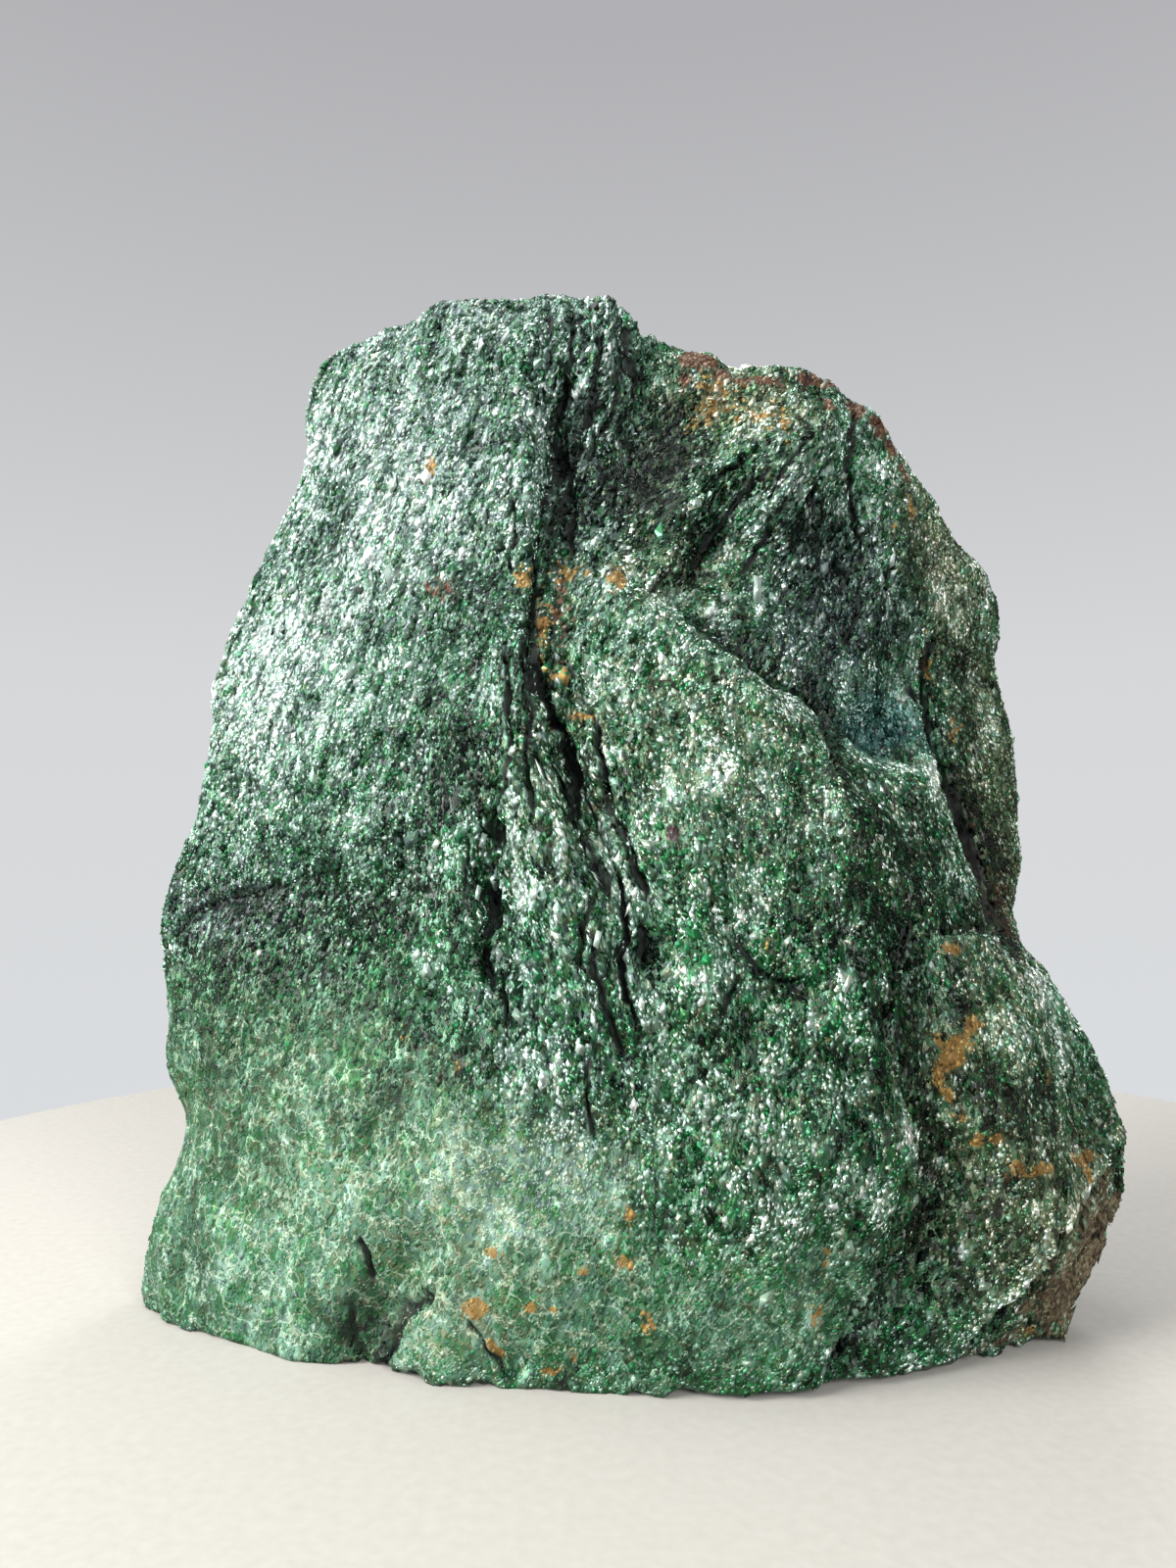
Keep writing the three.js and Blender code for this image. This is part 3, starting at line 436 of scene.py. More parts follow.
def blob(spot, x, z):
    """0 in the middle of a spot, 1 at its edge, and more outside it."""
    at_x, at_z, wide, high, turn = (*spot, 0.0)[:5]
    across = (x - at_x) * math.cos(turn) + (z - at_z) * math.sin(turn)
    upward = (z - at_z) * math.cos(turn) - (x - at_x) * math.sin(turn)
    return (across / wide) ** 2 + (upward / high) ** 2


def lean_at(x, z):
    """The lean of the layers: the nearest entries of LEANS count most."""
    total, weights = np.zeros(len(x)), np.full(len(x), 1e-9)
    for at_x, at_z, lean in LEANS:
        weight = np.exp(-blob((at_x, at_z, LEAN_REACH, LEAN_REACH), x, z))
        total += weight * lean
        weights += weight
    return total / weights


LEVEL = 95.0             # the height at which a layer is named by its x
CELL = 2.0               # spacing of the grid that layers are traced over
TRACE_STEPS = 60         # of up to one cell each, enough to reach LEVEL from top and bottom
GRID_X, GRID_Z = np.arange(-100, 101, CELL), np.arange(-6, 205, CELL)


def trace_layers():
    """For a grid of places on the face: the x at which the layer through it crosses LEVEL."""
    x, z = (values.ravel().copy() for values in np.meshgrid(GRID_X, GRID_Z))
    for _ in range(TRACE_STEPS):
        step = np.clip(LEVEL - z, -CELL, CELL)
        x += lean_at(x, z) * step
        z += step
    return x.reshape(len(GRID_Z), len(GRID_X))


LAYERS = trace_layers()


def layer_at(points):
    """The layer that each point lies in, read off the traced grid."""
    across = np.clip((points[:, 0] - GRID_X[0]) / CELL, 0, len(GRID_X) - 1.001)
    upward = np.clip((points[:, 2] - GRID_Z[0]) / CELL, 0, len(GRID_Z) - 1.001)
    i, j = across.astype(int), upward.astype(int)
    across, upward = across - i, upward - j
    low = LAYERS[j, i] * (1 - across) + LAYERS[j, i + 1] * across
    high = LAYERS[j + 1, i] * (1 - across) + LAYERS[j + 1, i + 1] * across
    return low * (1 - upward) + high * upward


DRAWN = np.array([1, 1.7, 7])  # how far noise is drawn out: across the layers, inwards and along them


def along_layers(points, size, shift):
    """Noise drawn out along the layers: size is its width across them, in millimetres."""
    place = np.stack([layer_at(points), points[:, 1], points[:, 2]], axis=1)
    return layered_noise(place, size * DRAWN, 2, shift)


# Sheets are stacked in three sizes: width, shift of their noise, relief everywhere, and how much more
# of it where the stone is layered. The slits have a width and a shift too, and where in a sheet they start.
SHEETS = ((8.5, 5.1, 0.1, 1.3), (4.6, 2.4, 0.25, 0.8), (2.3, 7.7, 0.15, 0.55))
SLITS = ((4.6, 2.4, 0.905), (2.3, 7.7, 0.83))
SHEET_FOOT = 0.4         # this share of a sheet's relief goes inwards
SHEET_SLANT = 0.35       # how far sheets lie aside for each millimetre that they stand out
SHEET_WAVES = 0.9        # how unevenly they are stacked
SHEET_EDGE = 0.86        # where across a sheet its edge starts to drop
SLIT_WIDTH = 0.04        # over which a slit opens, as a share of its sheet


def sheet_share(points, width, shift):
    """How far across its sheet each point lies, 0 to 1: sheets of about that width are stacked up."""
    place = (layer_at(points) + SHEET_SLANT * points[:, 1]) / width
    place += SHEET_WAVES * along_layers(points, 1.6 * width, shift)
    return place - np.floor(place)


def sheets(points, width, shift):
    """Each sheet rises slowly from 0 to 1, then drops at its edge."""
    share = sheet_share(points, width, shift)
    return share * (1 - smoothstep(share, SHEET_EDGE, 1.0))


def slits(points, made_of):
    """Thin gaps under the edges of the sheets, carved in and painted dark as shade, 0 to 1, broken up along
    their way.
    """
    much = smoothstep(made_of["layers"], 0.2, 0.8)
    found = np.zeros(len(points))
    for width, shift, low in SLITS:
        share = sheet_share(points, width, shift)
        patchy = layered_noise(points, [4, 4, 9], 2, 27.5 + shift)
        broken = smoothstep(patchy, 0.25 - 0.45 * much, 0.45 - 0.45 * much)
        found = np.maximum(found, smoothstep(share, low, low + SLIT_WIDTH) * broken)
    return found * (0.55 + 0.45 * much) * (1 - 0.85 * smoothstep(made_of["fuzz"], 0.3, 0.8))


def clusters(points):
    """Light and dark patches a few millimetres across, about -0.6 to 0.6: partly painted highlights, for
    groups of plates that flash together.
    """
    broad = layered_noise(points, [5.5, 5.5, 7], 2, 21.3)
    small = layered_noise(points, 2.4, 2, 33.1)
    return 0.55 * broad + 0.35 * small


WOBBLE, WOBBLE_SIZE = 5, 14  # how far the edges of the patches wander, and over what length
TONE_WOBBLE = 0.3        # the share of it that the smaller spots have
PATCH_FALL, TONE_FALL, STAIN_FALL = 1.3, 0.8, 0.7  # how steeply they fade outwards
PLAIN_GROUND = 0.35      # weight of plain stone against the patches
MATT_FROM, MATT_FULL = 0.05, 0.65  # shares of fuzz and silk between which they come in
SHADE_REACH = 4.5        # how far from a crack its shade goes


def amounts(points, normals):
    """What each point is made of: its tone, which carries painted light and shade as well, and the shares
    of the patches that it lies in.
    """
    x, z = points[:, 0], points[:, 2]
    sides = facing(normals)
    found = {kind: np.zeros(len(x)) for kind in ("tone", "layers", "slate", "teal", "olive", "fuzz", "silk")}
    wobble_x, wobble_z = (WOBBLE * layered_noise(points, WOBBLE_SIZE, 2, shift) for shift in (3.1, 9.7))
    for side, patches in zip(sides, (FACE_PATCHES, BACK_PATCHES)):
        share = {kind: np.zeros(len(x)) for kind in found}
        weights = np.full(len(x), PLAIN_GROUND)
        for each in patches:
            weight = np.exp(-blob(each["spot"], x + wobble_x, z + wobble_z) * PATCH_FALL)
            weights += weight
            for kind in found:
                share[kind] += weight * each.get(kind, 0.0)
        for kind in found:
            found[kind] += side * share[kind] / weights
    # Painted light and shade beside the cracks: paler along lit edges, darker on the side in shadow.
    for side, cracks in zip(sides, (FACE_CRACKS, BACK_CRACKS)):
        for each in cracks:
            if each["shade"]:
                distance, hand, along = to_path(each["path"], x, z)
                change = np.where(hand > 0, *each["shade"])
                found["tone"] += side * change * np.exp(-((distance / SHADE_REACH) ** 2)) * run_out(along)
    for kind in ("fuzz", "silk"):
        found[kind] = smoothstep(found[kind], MATT_FROM, MATT_FULL)
    for tone, spots in FACE_LIGHT_AND_TONE.items():
        for spot in spots:
            near = blob(spot, x + TONE_WOBBLE * wobble_x, z + TONE_WOBBLE * wobble_z)
            found["tone"] += sides[0] * tone * np.exp(-TONE_FALL * near)
    return found


def stains(points, normals, face_spots, back_spots):
    """Strength of the stains at each point, from 0 to 1, with a soft edge to be broken up later."""
    found = np.zeros(len(points))
    for side, strengths in zip(facing(normals), (face_spots, back_spots)):
        for strength, spots in strengths.items():
            for spot in spots:
                near = blob(spot, points[:, 0], points[:, 2])
                found = np.maximum(found, side * strength * np.exp(-STAIN_FALL * near))
    return found


def make_up(points, normals, made_of, groove, tone):
    """What each point is made of, as the materials read it: attributes of four channels. The second holds
    the stains, the painted shade of the cracks and slits, and the tone.
    """
    return {
        "mineral": [made_of[kind] for kind in ("slate", "teal", "olive", "fuzz")],
        "stain": [stains(points, normals, FACE_OCHRE, BACK_OCHRE),
                  stains(points, normals, FACE_RUST, BACK_RUST), groove, tone],
    }


# ---------------------------------------------------------------------------------------------
# The skin: a copy of the solid, made finer and carved.
# ---------------------------------------------------------------------------------------------

ROUNDING = 4             # smoothing passes that take the facets off
CRACK_WIDE = 3           # faces this near to a crack are as fine as the face, also on the back
CRACK_ZONE = 1.4         # faces this near to a crack are made finer once more
CRACK_CORE = 0.5         # and those this near to one on the face yet again
FRONT = 0.2              # the front's normals have a y below this, and the back's one above -FRONT
UNDERSIDE = -0.7         # the underside's normals have a z below this
LAYERED = 0.75           # the face is finer where it is layered more than this
CRACK_TIGHT = 0.7        # the share of a crack's stated width that its walls have
CRACK_WANDER = 0.7       # how far the cracks wander from their paths
LEDGE_REACH = 3.5        # how far from a crack the ground beside it is raised
INSET = 0.35             # room for the mica plates inside the solid's box
WAVES, CRUMBS, KNOBS = 1.1, 0.24, 0.9  # relief of the broad waves, of the grain, and of the right shoulder
SHOULDER_Z, SHOULDER_X = (160, 182), (4, 16)   # the shoulder begins between these
STEP_AT, STEP_WIDE, STEP_DEEP, STEP_Z = 3.6, 1.9, 3.0, (180, 187)  # where the top block ends on the right
FOOT_GAP = 1.3           # how far the broken underside may stand off the ground
CHART_GAP = 4            # between the charts of the skin's map, in millimetres


def read(items, key, width=3, kind=float):
    """One property of all the items, as an array with a row of that width for each."""
    found = np.empty(len(items) * width, kind)
    items.foreach_get(key, found)
    return found.reshape(-1, width) if width > 1 else found


def read_points(mesh):
    return read(mesh.vertices, "co") / MM


def write_points(mesh, points):
    mesh.vertices.foreach_set("co", (points * MM).ravel())
    mesh.update()


def crack_distance(points, normals):
    """Distance in millimetres from each point to the nearest crack on its side of the stone."""
    x, z = points[:, 0], points[:, 2]
    nearest = np.full(len(x), np.inf)
    for here, cracks in ((normals[:, 1] < FRONT, FACE_CRACKS), (normals[:, 1] > -FRONT, BACK_CRACKS)):
        for each in cracks:
            nearest[here] = np.minimum(nearest[here], to_path(each["path"], x[here], z[here])[0])
    return nearest


def shape_all(*steps):
    """Runs mesh operators, each with its settings, on the whole of the active piece."""
    bpy.ops.object.mode_set(mode="EDIT")
    bpy.ops.mesh.select_all(action="SELECT")
    for operator, settings in steps:
        operator(**settings)
    bpy.ops.object.mode_set(mode="OBJECT")


def copy_of_node(node, name):
    """A mesh object with the node's shape, as one closed surface instead of loose triangles."""
    bpy.ops.object.select_all(action="DESELECT")
    piece = bpy.data.objects.new(name, node.data.copy())
    bpy.context.scene.collection.objects.link(piece)
    bpy.context.view_layer.objects.active = piece
    piece.select_set(True)
    piece.data.materials.clear()
    bpy.ops.mesh.customdata_custom_splitnormals_clear()
    shape_all((bpy.ops.mesh.remove_doubles, {"threshold": 1e-6}))
    return piece


def subdivide_where(piece, wanted):
    """Cuts the edges of the faces in two for which wanted(centres, normals) is true."""
    faces = piece.data.polygons
    centres, normals = read(faces, "center") / MM, read(faces, "normal")
    bpy.ops.object.mode_set(mode="EDIT")
    bpy.ops.mesh.select_mode(type="FACE")
    bpy.ops.mesh.select_all(action="DESELECT")
    bpy.ops.object.mode_set(mode="OBJECT")
    piece.data.polygons.foreach_set("select", wanted(centres, normals))
    bpy.ops.object.mode_set(mode="EDIT")
    bpy.ops.mesh.subdivide(number_cuts=1)
    shape_all((bpy.ops.mesh.quads_convert_to_tris, {}))


def make_finer(piece):
    """Even subdivision and rounding, then finer on the face, and finest at cracks and layers."""
    shape_all((bpy.ops.mesh.subdivide, {"number_cuts": 1}), (bpy.ops.mesh.quads_convert_to_tris, {}))
    subdivide_where(piece, lambda centres, normals: (normals[:, 1] < FRONT) & (normals[:, 2] > UNDERSIDE)
                    | (crack_distance(centres, normals) < CRACK_WIDE))
    shape_all((bpy.ops.mesh.vertices_smooth, {"factor": 0.5, "repeat": ROUNDING}))
    subdivide_where(piece, lambda centres, normals: (crack_distance(centres, normals) < CRACK_ZONE)
                    | ((amounts(centres, normals)["layers"] > LAYERED) & (normals[:, 1] < -0.3)))
    subdivide_where(piece, lambda centres, normals: (crack_distance(centres, normals) < CRACK_CORE)
                    & (normals[:, 1] < 0))


def cracks_at(points, normals):
    """How far the cracks and steps move each point, and the painted shade inside a crack at it (0 to 1)."""
    x = points[:, 0] + CRACK_WANDER * layered_noise(points, 5, 2, 1.7)
    z = points[:, 2] + CRACK_WANDER * layered_noise(points, 5, 2, 6.1)
    ragged = layered_noise(points, [2.2, 2.2, 3.4], 2, 3.3) + 0.5 * along_layers(points, 0.8, 19.0)
    height, groove = np.zeros(len(x)), np.zeros(len(x))
    for side, cracks in zip(facing(normals), (FACE_CRACKS, BACK_CRACKS)):
        here = np.flatnonzero(side > 0)
        for each in cracks:
            distance, hand, along = to_path(each["path"], x[here], z[here])
            fade = run_out(along) * side[here]
            width = each["width"] * CRACK_TIGHT * np.clip(1 + 0.8 * ragged[here], 0.5, 1.4)
            wall = np.exp(-((distance / width) ** 2))
            height[here] -= each["depth"] * wall * fade
            height[here] += each["step"] * hand * np.exp(-distance / LEDGE_REACH) * (1 - wall) * fade
            # Painted shade, with some dirt, inside the crack.
            inside = np.exp(-((distance / width / 0.9) ** 4)) * fade * each["dark"]
            groove[here] = np.maximum(groove[here], inside)
    return height, groove


def carve(piece):
    """Moves the skin's points: cracks, steps, layers and grain. Returns the painted shade of cracks and
    slits.
    """
    mesh = piece.data
    points, normals = read_points(mesh), read(mesh.vertices, "normal")
    x, z = points[:, 0], points[:, 2]
    made_of = amounts(points, normals)
    layers, fuzz = made_of["layers"], made_of["fuzz"]
    height, groove = cracks_at(points, normals)
    for spot, rise in FACE_BUMPS:
        height += facing(normals)[0] * rise * np.exp(-blob(spot, x, z))
    flat = 1 - 0.6 * fuzz
    for width, shift, plain, layered in SHEETS:
        height += (plain * flat + layered * layers) * (sheets(points, width, shift) - SHEET_FOOT)
    gaps = slits(points, made_of)
    height -= gaps
    # The slits are painted dark too: shade under the edges of the sheets.
    groove = np.maximum(groove, 0.8 * gaps)
    height += (WAVES - 0.45 * fuzz) * layered_noise(points, [10, 10, 13], 3, 2.2)
    rough = 1 - 0.6 * fuzz - 0.4 * made_of["silk"]
    height += CRUMBS * rough * layered_noise(points, [2.4, 2.4, 3.2], 2, 8.8)
    shoulder = smoothstep(z, *SHOULDER_Z) * smoothstep(x, *SHOULDER_X)
    height += shoulder * KNOBS * layered_noise(points, 4.2, 2, 4.4)
    points += normals * (height - INSET)[:, None]
    points[:, 2] -= STEP_DEEP * np.exp(-(((x - STEP_AT) / STEP_WIDE) ** 2)) * smoothstep(z, *STEP_Z)
    points = np.clip(points, *CAD_MM)
    foot = smoothstep(-normals[:, 2], 0.5, 0.9) * smoothstep(-z, -3, 0)
    points[:, 2] = np.where(foot > 0, np.maximum(points[:, 2], 0) * (1 - foot), points[:, 2])
    gap = np.clip(layered_noise(points, 16, 2, 7.4) * 1.6, 0, 1) * FOOT_GAP
    points[:, 2] += gap * smoothstep(-points[:, 2], -2.5, 0)
    write_points(mesh, points)
    return groove


def add_attribute(mesh, name, kind, key, values):
    attribute = mesh.attributes.new(name, kind, "POINT")
    attribute.data.foreach_set(key, values.astype(np.float32).ravel())


def add_colour(mesh, name, channels):
    add_attribute(mesh, name, "FLOAT_COLOR", "color", np.stack(channels, axis=1))


def add_map(mesh, places):
    """A map named OFBake, with one place for each corner of each face."""
    mesh.uv_layers.new(name="OFBake").uv.foreach_set("vector", places.astype(np.float32).ravel())


def add_skin_map(mesh, normals):
    """A map of six flat charts, one for each way that the surface faces: normals is one for each face."""
    across, deep, high = (np.array(CAD_BOX[1]) - np.array(CAD_BOX[0])) / MM
    verts = read(mesh.loops, "vertex_index", 1, int)
    x, y, z = read_points(mesh)[verts].T
    x, y = x + across / 2, y + deep / 2
    row = high + CHART_GAP + 2
    # for each way (left, front, below, right, back, above): the two directions and the chart's corner
    charts = [(deep - y, z, 0, row), (x, z, 0, 0), (x, deep - y, 2 * (deep + CHART_GAP), row),
              (y, z, deep + CHART_GAP, row), (across - x, z, across + CHART_GAP, 0),
              (x, y, 2 * (deep + CHART_GAP), row + deep + CHART_GAP)]
    way = np.repeat(np.argmax(np.concatenate([-normals, normals], axis=1), axis=1), 3)
    places = np.zeros((len(verts), 2))
    for number, (u, v, left, low) in enumerate(charts):
        here = way == number
        places[here] = np.stack([u[here] + left + 1, v[here] + low + 1], axis=1) / (2 * (high + CHART_GAP))
    add_map(mesh, places)


def make_skin():
    """The finer, carved copy of the solid, with what the materials read."""
    piece = copy_of_node(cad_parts["stone"], "stone_skin")
    make_finer(piece)
    mesh = piece.data
    before = read(mesh.polygons, "normal")
    groove = carve(piece)
    points, normals = read_points(mesh), read(mesh.vertices, "normal")
    made_of = amounts(points, normals)
    streaks = along_layers(points, 1.6, 5.5) * (0.5 + made_of["layers"])
    # The skin's low base tone is painted shade in the gaps between the plates.
    tone = 0.18 + 0.22 * made_of["layers"] + 0.16 * made_of["fuzz"] + 0.6 * made_of["tone"] + 0.14 * streaks
    tone += 0.25 * clusters(points)
    for name, channels in make_up(points, normals, made_of, groove, np.clip(tone, 0, 1)).items():
        add_colour(mesh, name, channels)
    add_attribute(mesh, "groove", "FLOAT", "value", groove)
    add_attribute(mesh, "layer", "FLOAT", "value", layer_at(points))
    add_skin_map(mesh, before)
    bpy.ops.object.shade_smooth()
    return piece


# ---------------------------------------------------------------------------------------------
# Mica plates: thin four-sided flakes with a root sunk into the skin.
# ---------------------------------------------------------------------------------------------

PLATES_PER_PIECE = 33000     # six triangles each keep a piece under 200,000
PLATE_PIECES = 5
PLATE_SEED = SEED + 100      # of the first piece; each piece has its own
TRIES = 1.5                  # for each plate, since places in cracks are mostly turned down
PLATE_ROOT = 0.55            # how deep a plate's root is sunk, in millimetres
BIG_SHARE, BIG_LENGTH, BIG_WIDTH = 0.012, 1.9, 1.6  # a few plates are larger by these factors
BACK_SHARE = 0.55            # of the plates, against the same area of the face
GROUND_CLEAR = 1.6           # there are none on the underside below this height
OFF_CORNERS = [1.4, 1.4, 1.4]  # keeps the plates off the corners of the skin's triangles
PLATE_FACES = ((0, 1, 2, 3), (1, 0, 4), (2, 1, 4), (3, 2, 4), (0, 3, 4))  # the rim, and down to the root
GARNET_CLEAR = (*GARNET[:2], 2, 2.3)      # no plates stand on the garnet
FLAKE_WAY = np.array([-0.2, -0.6, 0.1])   # the way that the large flakes lean to
FLAKE_OUTLINE = ((0.5, 0.3), (-0.36, 0.5), (-0.5, -0.26), (0.4, -0.5))  # corners: along and across
# The large flakes' paleness is partly a painted highlight for their glint.
FLAKE_RISE, FLAKE_TONE = 0.55, 0.8        # how far they stand off the skin, and how pale they are


def unit(vectors):
    return vectors / np.maximum(np.linalg.norm(vectors, axis=-1, keepdims=True), 1e-9)


def laid_on(face, vectors):
    """The vectors turned into the planes that face stands on, with a length of 1."""
    return unit(vectors - face * (vectors * face).sum(-1, keepdims=True))


def skin_triangles(mesh):
    """Points, normals and grooves of the skin, and the corners and the area of each triangle."""
    mesh.calc_loop_triangles()
    corners = read(mesh.loop_triangles, "vertices", kind=int)
    points, normals = read_points(mesh), read(mesh.vertices, "normal")
    groove = read(mesh.attributes["groove"].data, "value", 1, np.float32)
    a, b, c = points[corners].swapaxes(0, 1)
    return points, normals, groove, corners, np.linalg.norm(np.cross(b - a, c - a), axis=1) / 2


def scatter(mesh, count, rng):
    """Places on the skin for the plates: point, normal and groove of each."""
    points, normals, groove, corners, area = skin_triangles(mesh)
    centre, centre_normal, centre_groove = (values[corners].mean(1) for values in (points, normals, groove))
    covered = stains(centre, centre_normal, FACE_OCHRE, BACK_OCHRE)
    garnet = (blob(GARNET_CLEAR, centre[:, 0], centre[:, 2]) < 1) & (centre_normal[:, 1] < 0)
    on_ground = (centre[:, 2] < GROUND_CLEAR) & (centre_normal[:, 2] < -0.5)
    wanted = area * (1 - 0.6 * centre_groove) * (1 - 0.5 * smoothstep(covered, 0.4, 0.8))
    wanted *= ~garnet * ~on_ground * np.where(centre_normal[:, 1] < 0.3, 1.0, BACK_SHARE)
    wanted *= 1 - 0.65 * smoothstep(amounts(centre, centre_normal)["layers"], 0.5, 0.9)
    tries = int(count * TRIES)
    picked = rng.choice(len(area), tries, p=wanted / wanted.sum())
    shares = rng.dirichlet(OFF_CORNERS, tries)[:, :, None]
    place, normal = ((values[corners[picked]] * shares).sum(1) for values in (points, normals))
    normal = unit(normal)
    # Hardly any plates stand in the cracks and gaps, so that the skin's painted shade shows there as thin
    # dark lines.
    depth = np.maximum(cracks_at(place, normal)[1], 0.9 * slits(place, amounts(place, normal)))
    kept = np.flatnonzero(rng.random(tries) > 0.95 * smoothstep(depth, 0.22, 0.5))[:count]
    return place[kept], normal[kept], depth[kept]


def plate_corners(place, normal, made_of, rng):
    """The four rim corners and the root of every plate."""
    count = len(place)
    layers, fuzz = made_of["layers"], made_of["fuzz"]
    stroke = np.stack([lean_at(place[:, 0], place[:, 2]), np.zeros(count), np.ones(count)], axis=1)
    stroke += rng.normal(0, 1, (count, 3)) * (0.3 - 0.15 * layers)[:, None]
    along = laid_on(normal, stroke)
    across = np.cross(normal, along)
    # Tilts shared by neighbours, so that plates flash in strokes and clusters, and one of each plate's own.
    calm = (1 - 0.8 * fuzz) * (1 - 0.3 * made_of["silk"])
    tilt_a = (0.2 * layered_noise(place, 7, 2, 12.1) + 0.42 * along_layers(place, 1.3, 41.0)) * calm
    tilt_b = 0.2 * layered_noise(place, 7, 2, 15.9) + 0.24 * layered_noise(place, [1.8, 1.8, 2.6], 2, 45.0)
    tilt_b *= calm
    tilt_a += rng.normal(0, 0.13, count) * calm
    tilt_b += rng.normal(0, 0.10, count) * calm
    face = unit(normal + across * np.tan(np.clip(tilt_a, -1.1, 1.1))[:, None]
                + along * np.tan(np.clip(tilt_b, -0.8, 0.8))[:, None])
    along = laid_on(face, along)
    across = np.cross(face, along)
    length = np.clip(rng.lognormal(-0.12, 0.42, count), 0.4, 2.8) * (1 + 1.2 * layers) * (1 - 0.35 * fuzz)
    width = length * rng.uniform(0.36, 0.80, count) * (1 - 0.6 * layers)
    big = rng.random(count) < BIG_SHARE
    length, width = length * np.where(big, BIG_LENGTH, 1), width * np.where(big, BIG_WIDTH, 1)
    reach = np.abs(np.sin(tilt_a)) * width / 2 + np.abs(np.sin(tilt_b)) * length / 2
    centre = place + normal * (0.03 + 0.4 * reach)[:, None]
    angle = np.arange(4) * math.pi / 2 + rng.normal(0, 0.22, (count, 4))
    radius = rng.uniform(0.78, 1.12, (count, 4))
    rim = (centre[:, None]
           + along[:, None] * (np.cos(angle) * radius * length[:, None] / 2)[..., None]
           + across[:, None] * (np.sin(angle) * radius * width[:, None] / 2)[..., None])
    root = place - normal * PLATE_ROOT
    return np.clip(np.concatenate([rim, root[:, None]], axis=1), *CAD_MM)


def place_flakes(mesh, place, normal):
    """Moves the first plates to the places of the large single flakes."""
    points, normals = read_points(mesh), read(mesh.vertices, "normal")
    for number, (x, z, *_) in enumerate(FLAKES):
        away = np.hypot(points[:, 0] - x, points[:, 2] - z) + 1000 * (normals[:, 1] > -0.2)
        nearest = np.argmin(away)
        place[number], normal[number] = points[nearest], normals[nearest]


def shape_flakes(place, normal, corners, tone):
    """Gives the first plates the shapes of the large single flakes, and their tone."""
    for number, (_, _, length, width, lean) in enumerate(FLAKES):
        face = unit(normal[number] * 0.5 + FLAKE_WAY)
        along = laid_on(face, np.array([math.sin(lean), 0, math.cos(lean)]))
        across = np.cross(face, along)
        middle = place[number] + normal[number] * FLAKE_RISE
        for corner, (u, v) in enumerate(FLAKE_OUTLINE):
            corners[number, corner] = middle + along * u * length + across * v * width
        tone[number] = FLAKE_TONE


def plate_tones(place, made_of, groove, rng):
    """How pale each plate is: 0 is nearly black, 0.5 is mid green and 1 is silvery mint."""
    layers, fuzz = made_of["layers"], made_of["fuzz"]
    around = clusters(place)
    dark = smoothstep(-made_of["tone"], 0.0, 0.3)
    # The spread is partly painted glints: pale plates stand for flashes of light, most of all where the stone
    # is dark.
    spread = (0.60 + 0.4 * np.maximum(around, 0) + 0.6 * dark + 0.25 * layers) * (1 - 0.84 * fuzz)
    own = rng.beta(1.3, 1.4, len(place)) - 0.5
    patchy = 0.6 - 0.2 * layers - 0.44 * fuzz - 0.3 * made_of["silk"]
    streaks = along_layers(place, 1.5, 5.5) * (0.28 + 0.14 * layers - 0.21 * fuzz)
    tone = 0.455 - 0.11 * fuzz + spread * own + 1.15 * made_of["tone"] + patchy * around + streaks
    # Plates in cracks and slits are darkened with painted shade.
    return np.clip(tone - 0.7 * groove, 0, 1)


def add_plate_map(mesh, count):
    """A map with one small square for each plate: its rim on the left, its root on the right."""
    side = math.ceil(math.sqrt(count))
    cell = np.stack([np.arange(count) % side, np.arange(count) // side], axis=1) / side
    square = np.array([[0, 0], [1, 0], [1, 1], [0, 1], [0.5, 0.5]])
    rim, root = 0.06 + 0.56 * square, 0.70 + 0.24 * square
    pattern = np.concatenate([rim[list(PLATE_FACES[0])], root[np.concatenate(PLATE_FACES[1:])]])
    add_map(mesh, cell[:, None] + pattern / side)


def plate_mesh(name, corners, values):
    """One mesh of many closed plates. values maps an attribute's name to four channels per plate."""
    count, points = corners.shape[:2]
    number = np.arange(count)[:, None]
    loops = number * points + np.concatenate(PLATE_FACES)
    starts = number * loops.shape[1] + np.cumsum([0] + [len(face) for face in PLATE_FACES[:-1]])
    mesh = bpy.data.meshes.new(name)
    mesh.vertices.add(count * points)
    mesh.loops.add(loops.size)
    mesh.polygons.add(starts.size)
    mesh.vertices.foreach_set("co", (corners * MM).ravel())
    mesh.loops.foreach_set("vertex_index", loops.ravel().astype(np.int32))
    mesh.polygons.foreach_set("loop_start", starts.ravel().astype(np.int32))
    mesh.update(calc_edges=True)
    for key, channels in values.items():
        add_colour(mesh, key, [np.repeat(channel, points) for channel in channels])
    add_plate_map(mesh, count)
    return mesh


def make_plates(skin):
    """The mica plates, in pieces of a size that can be handled."""
    pieces = []
    for number in range(PLATE_PIECES):
        rng = np.random.default_rng(PLATE_SEED + number)
        place, normal, groove = scatter(skin.data, PLATES_PER_PIECE, rng)
        if number == 0:
            place_flakes(skin.data, place, normal)
        made_of = amounts(place, normal)
        corners = plate_corners(place, normal, made_of, rng)
        tone = plate_tones(place, made_of, groove, rng)
        if number == 0:
            shape_flakes(place, normal, corners, tone)
        values = make_up(place, normal, made_of, groove, tone)
        values["chance"] = [rng.random(PLATES_PER_PIECE) for _ in range(4)]
        mesh = plate_mesh("mica_plates_%d" % (number + 1), corners, values)
        piece = bpy.data.objects.new(mesh.name, mesh)
        bpy.context.scene.collection.objects.link(piece)
        pieces.append(piece)
    return pieces


# ---------------------------------------------------------------------------------------------
# Materials. Sock wraps a socket, so that an expression on values adds its Math nodes.
# ---------------------------------------------------------------------------------------------

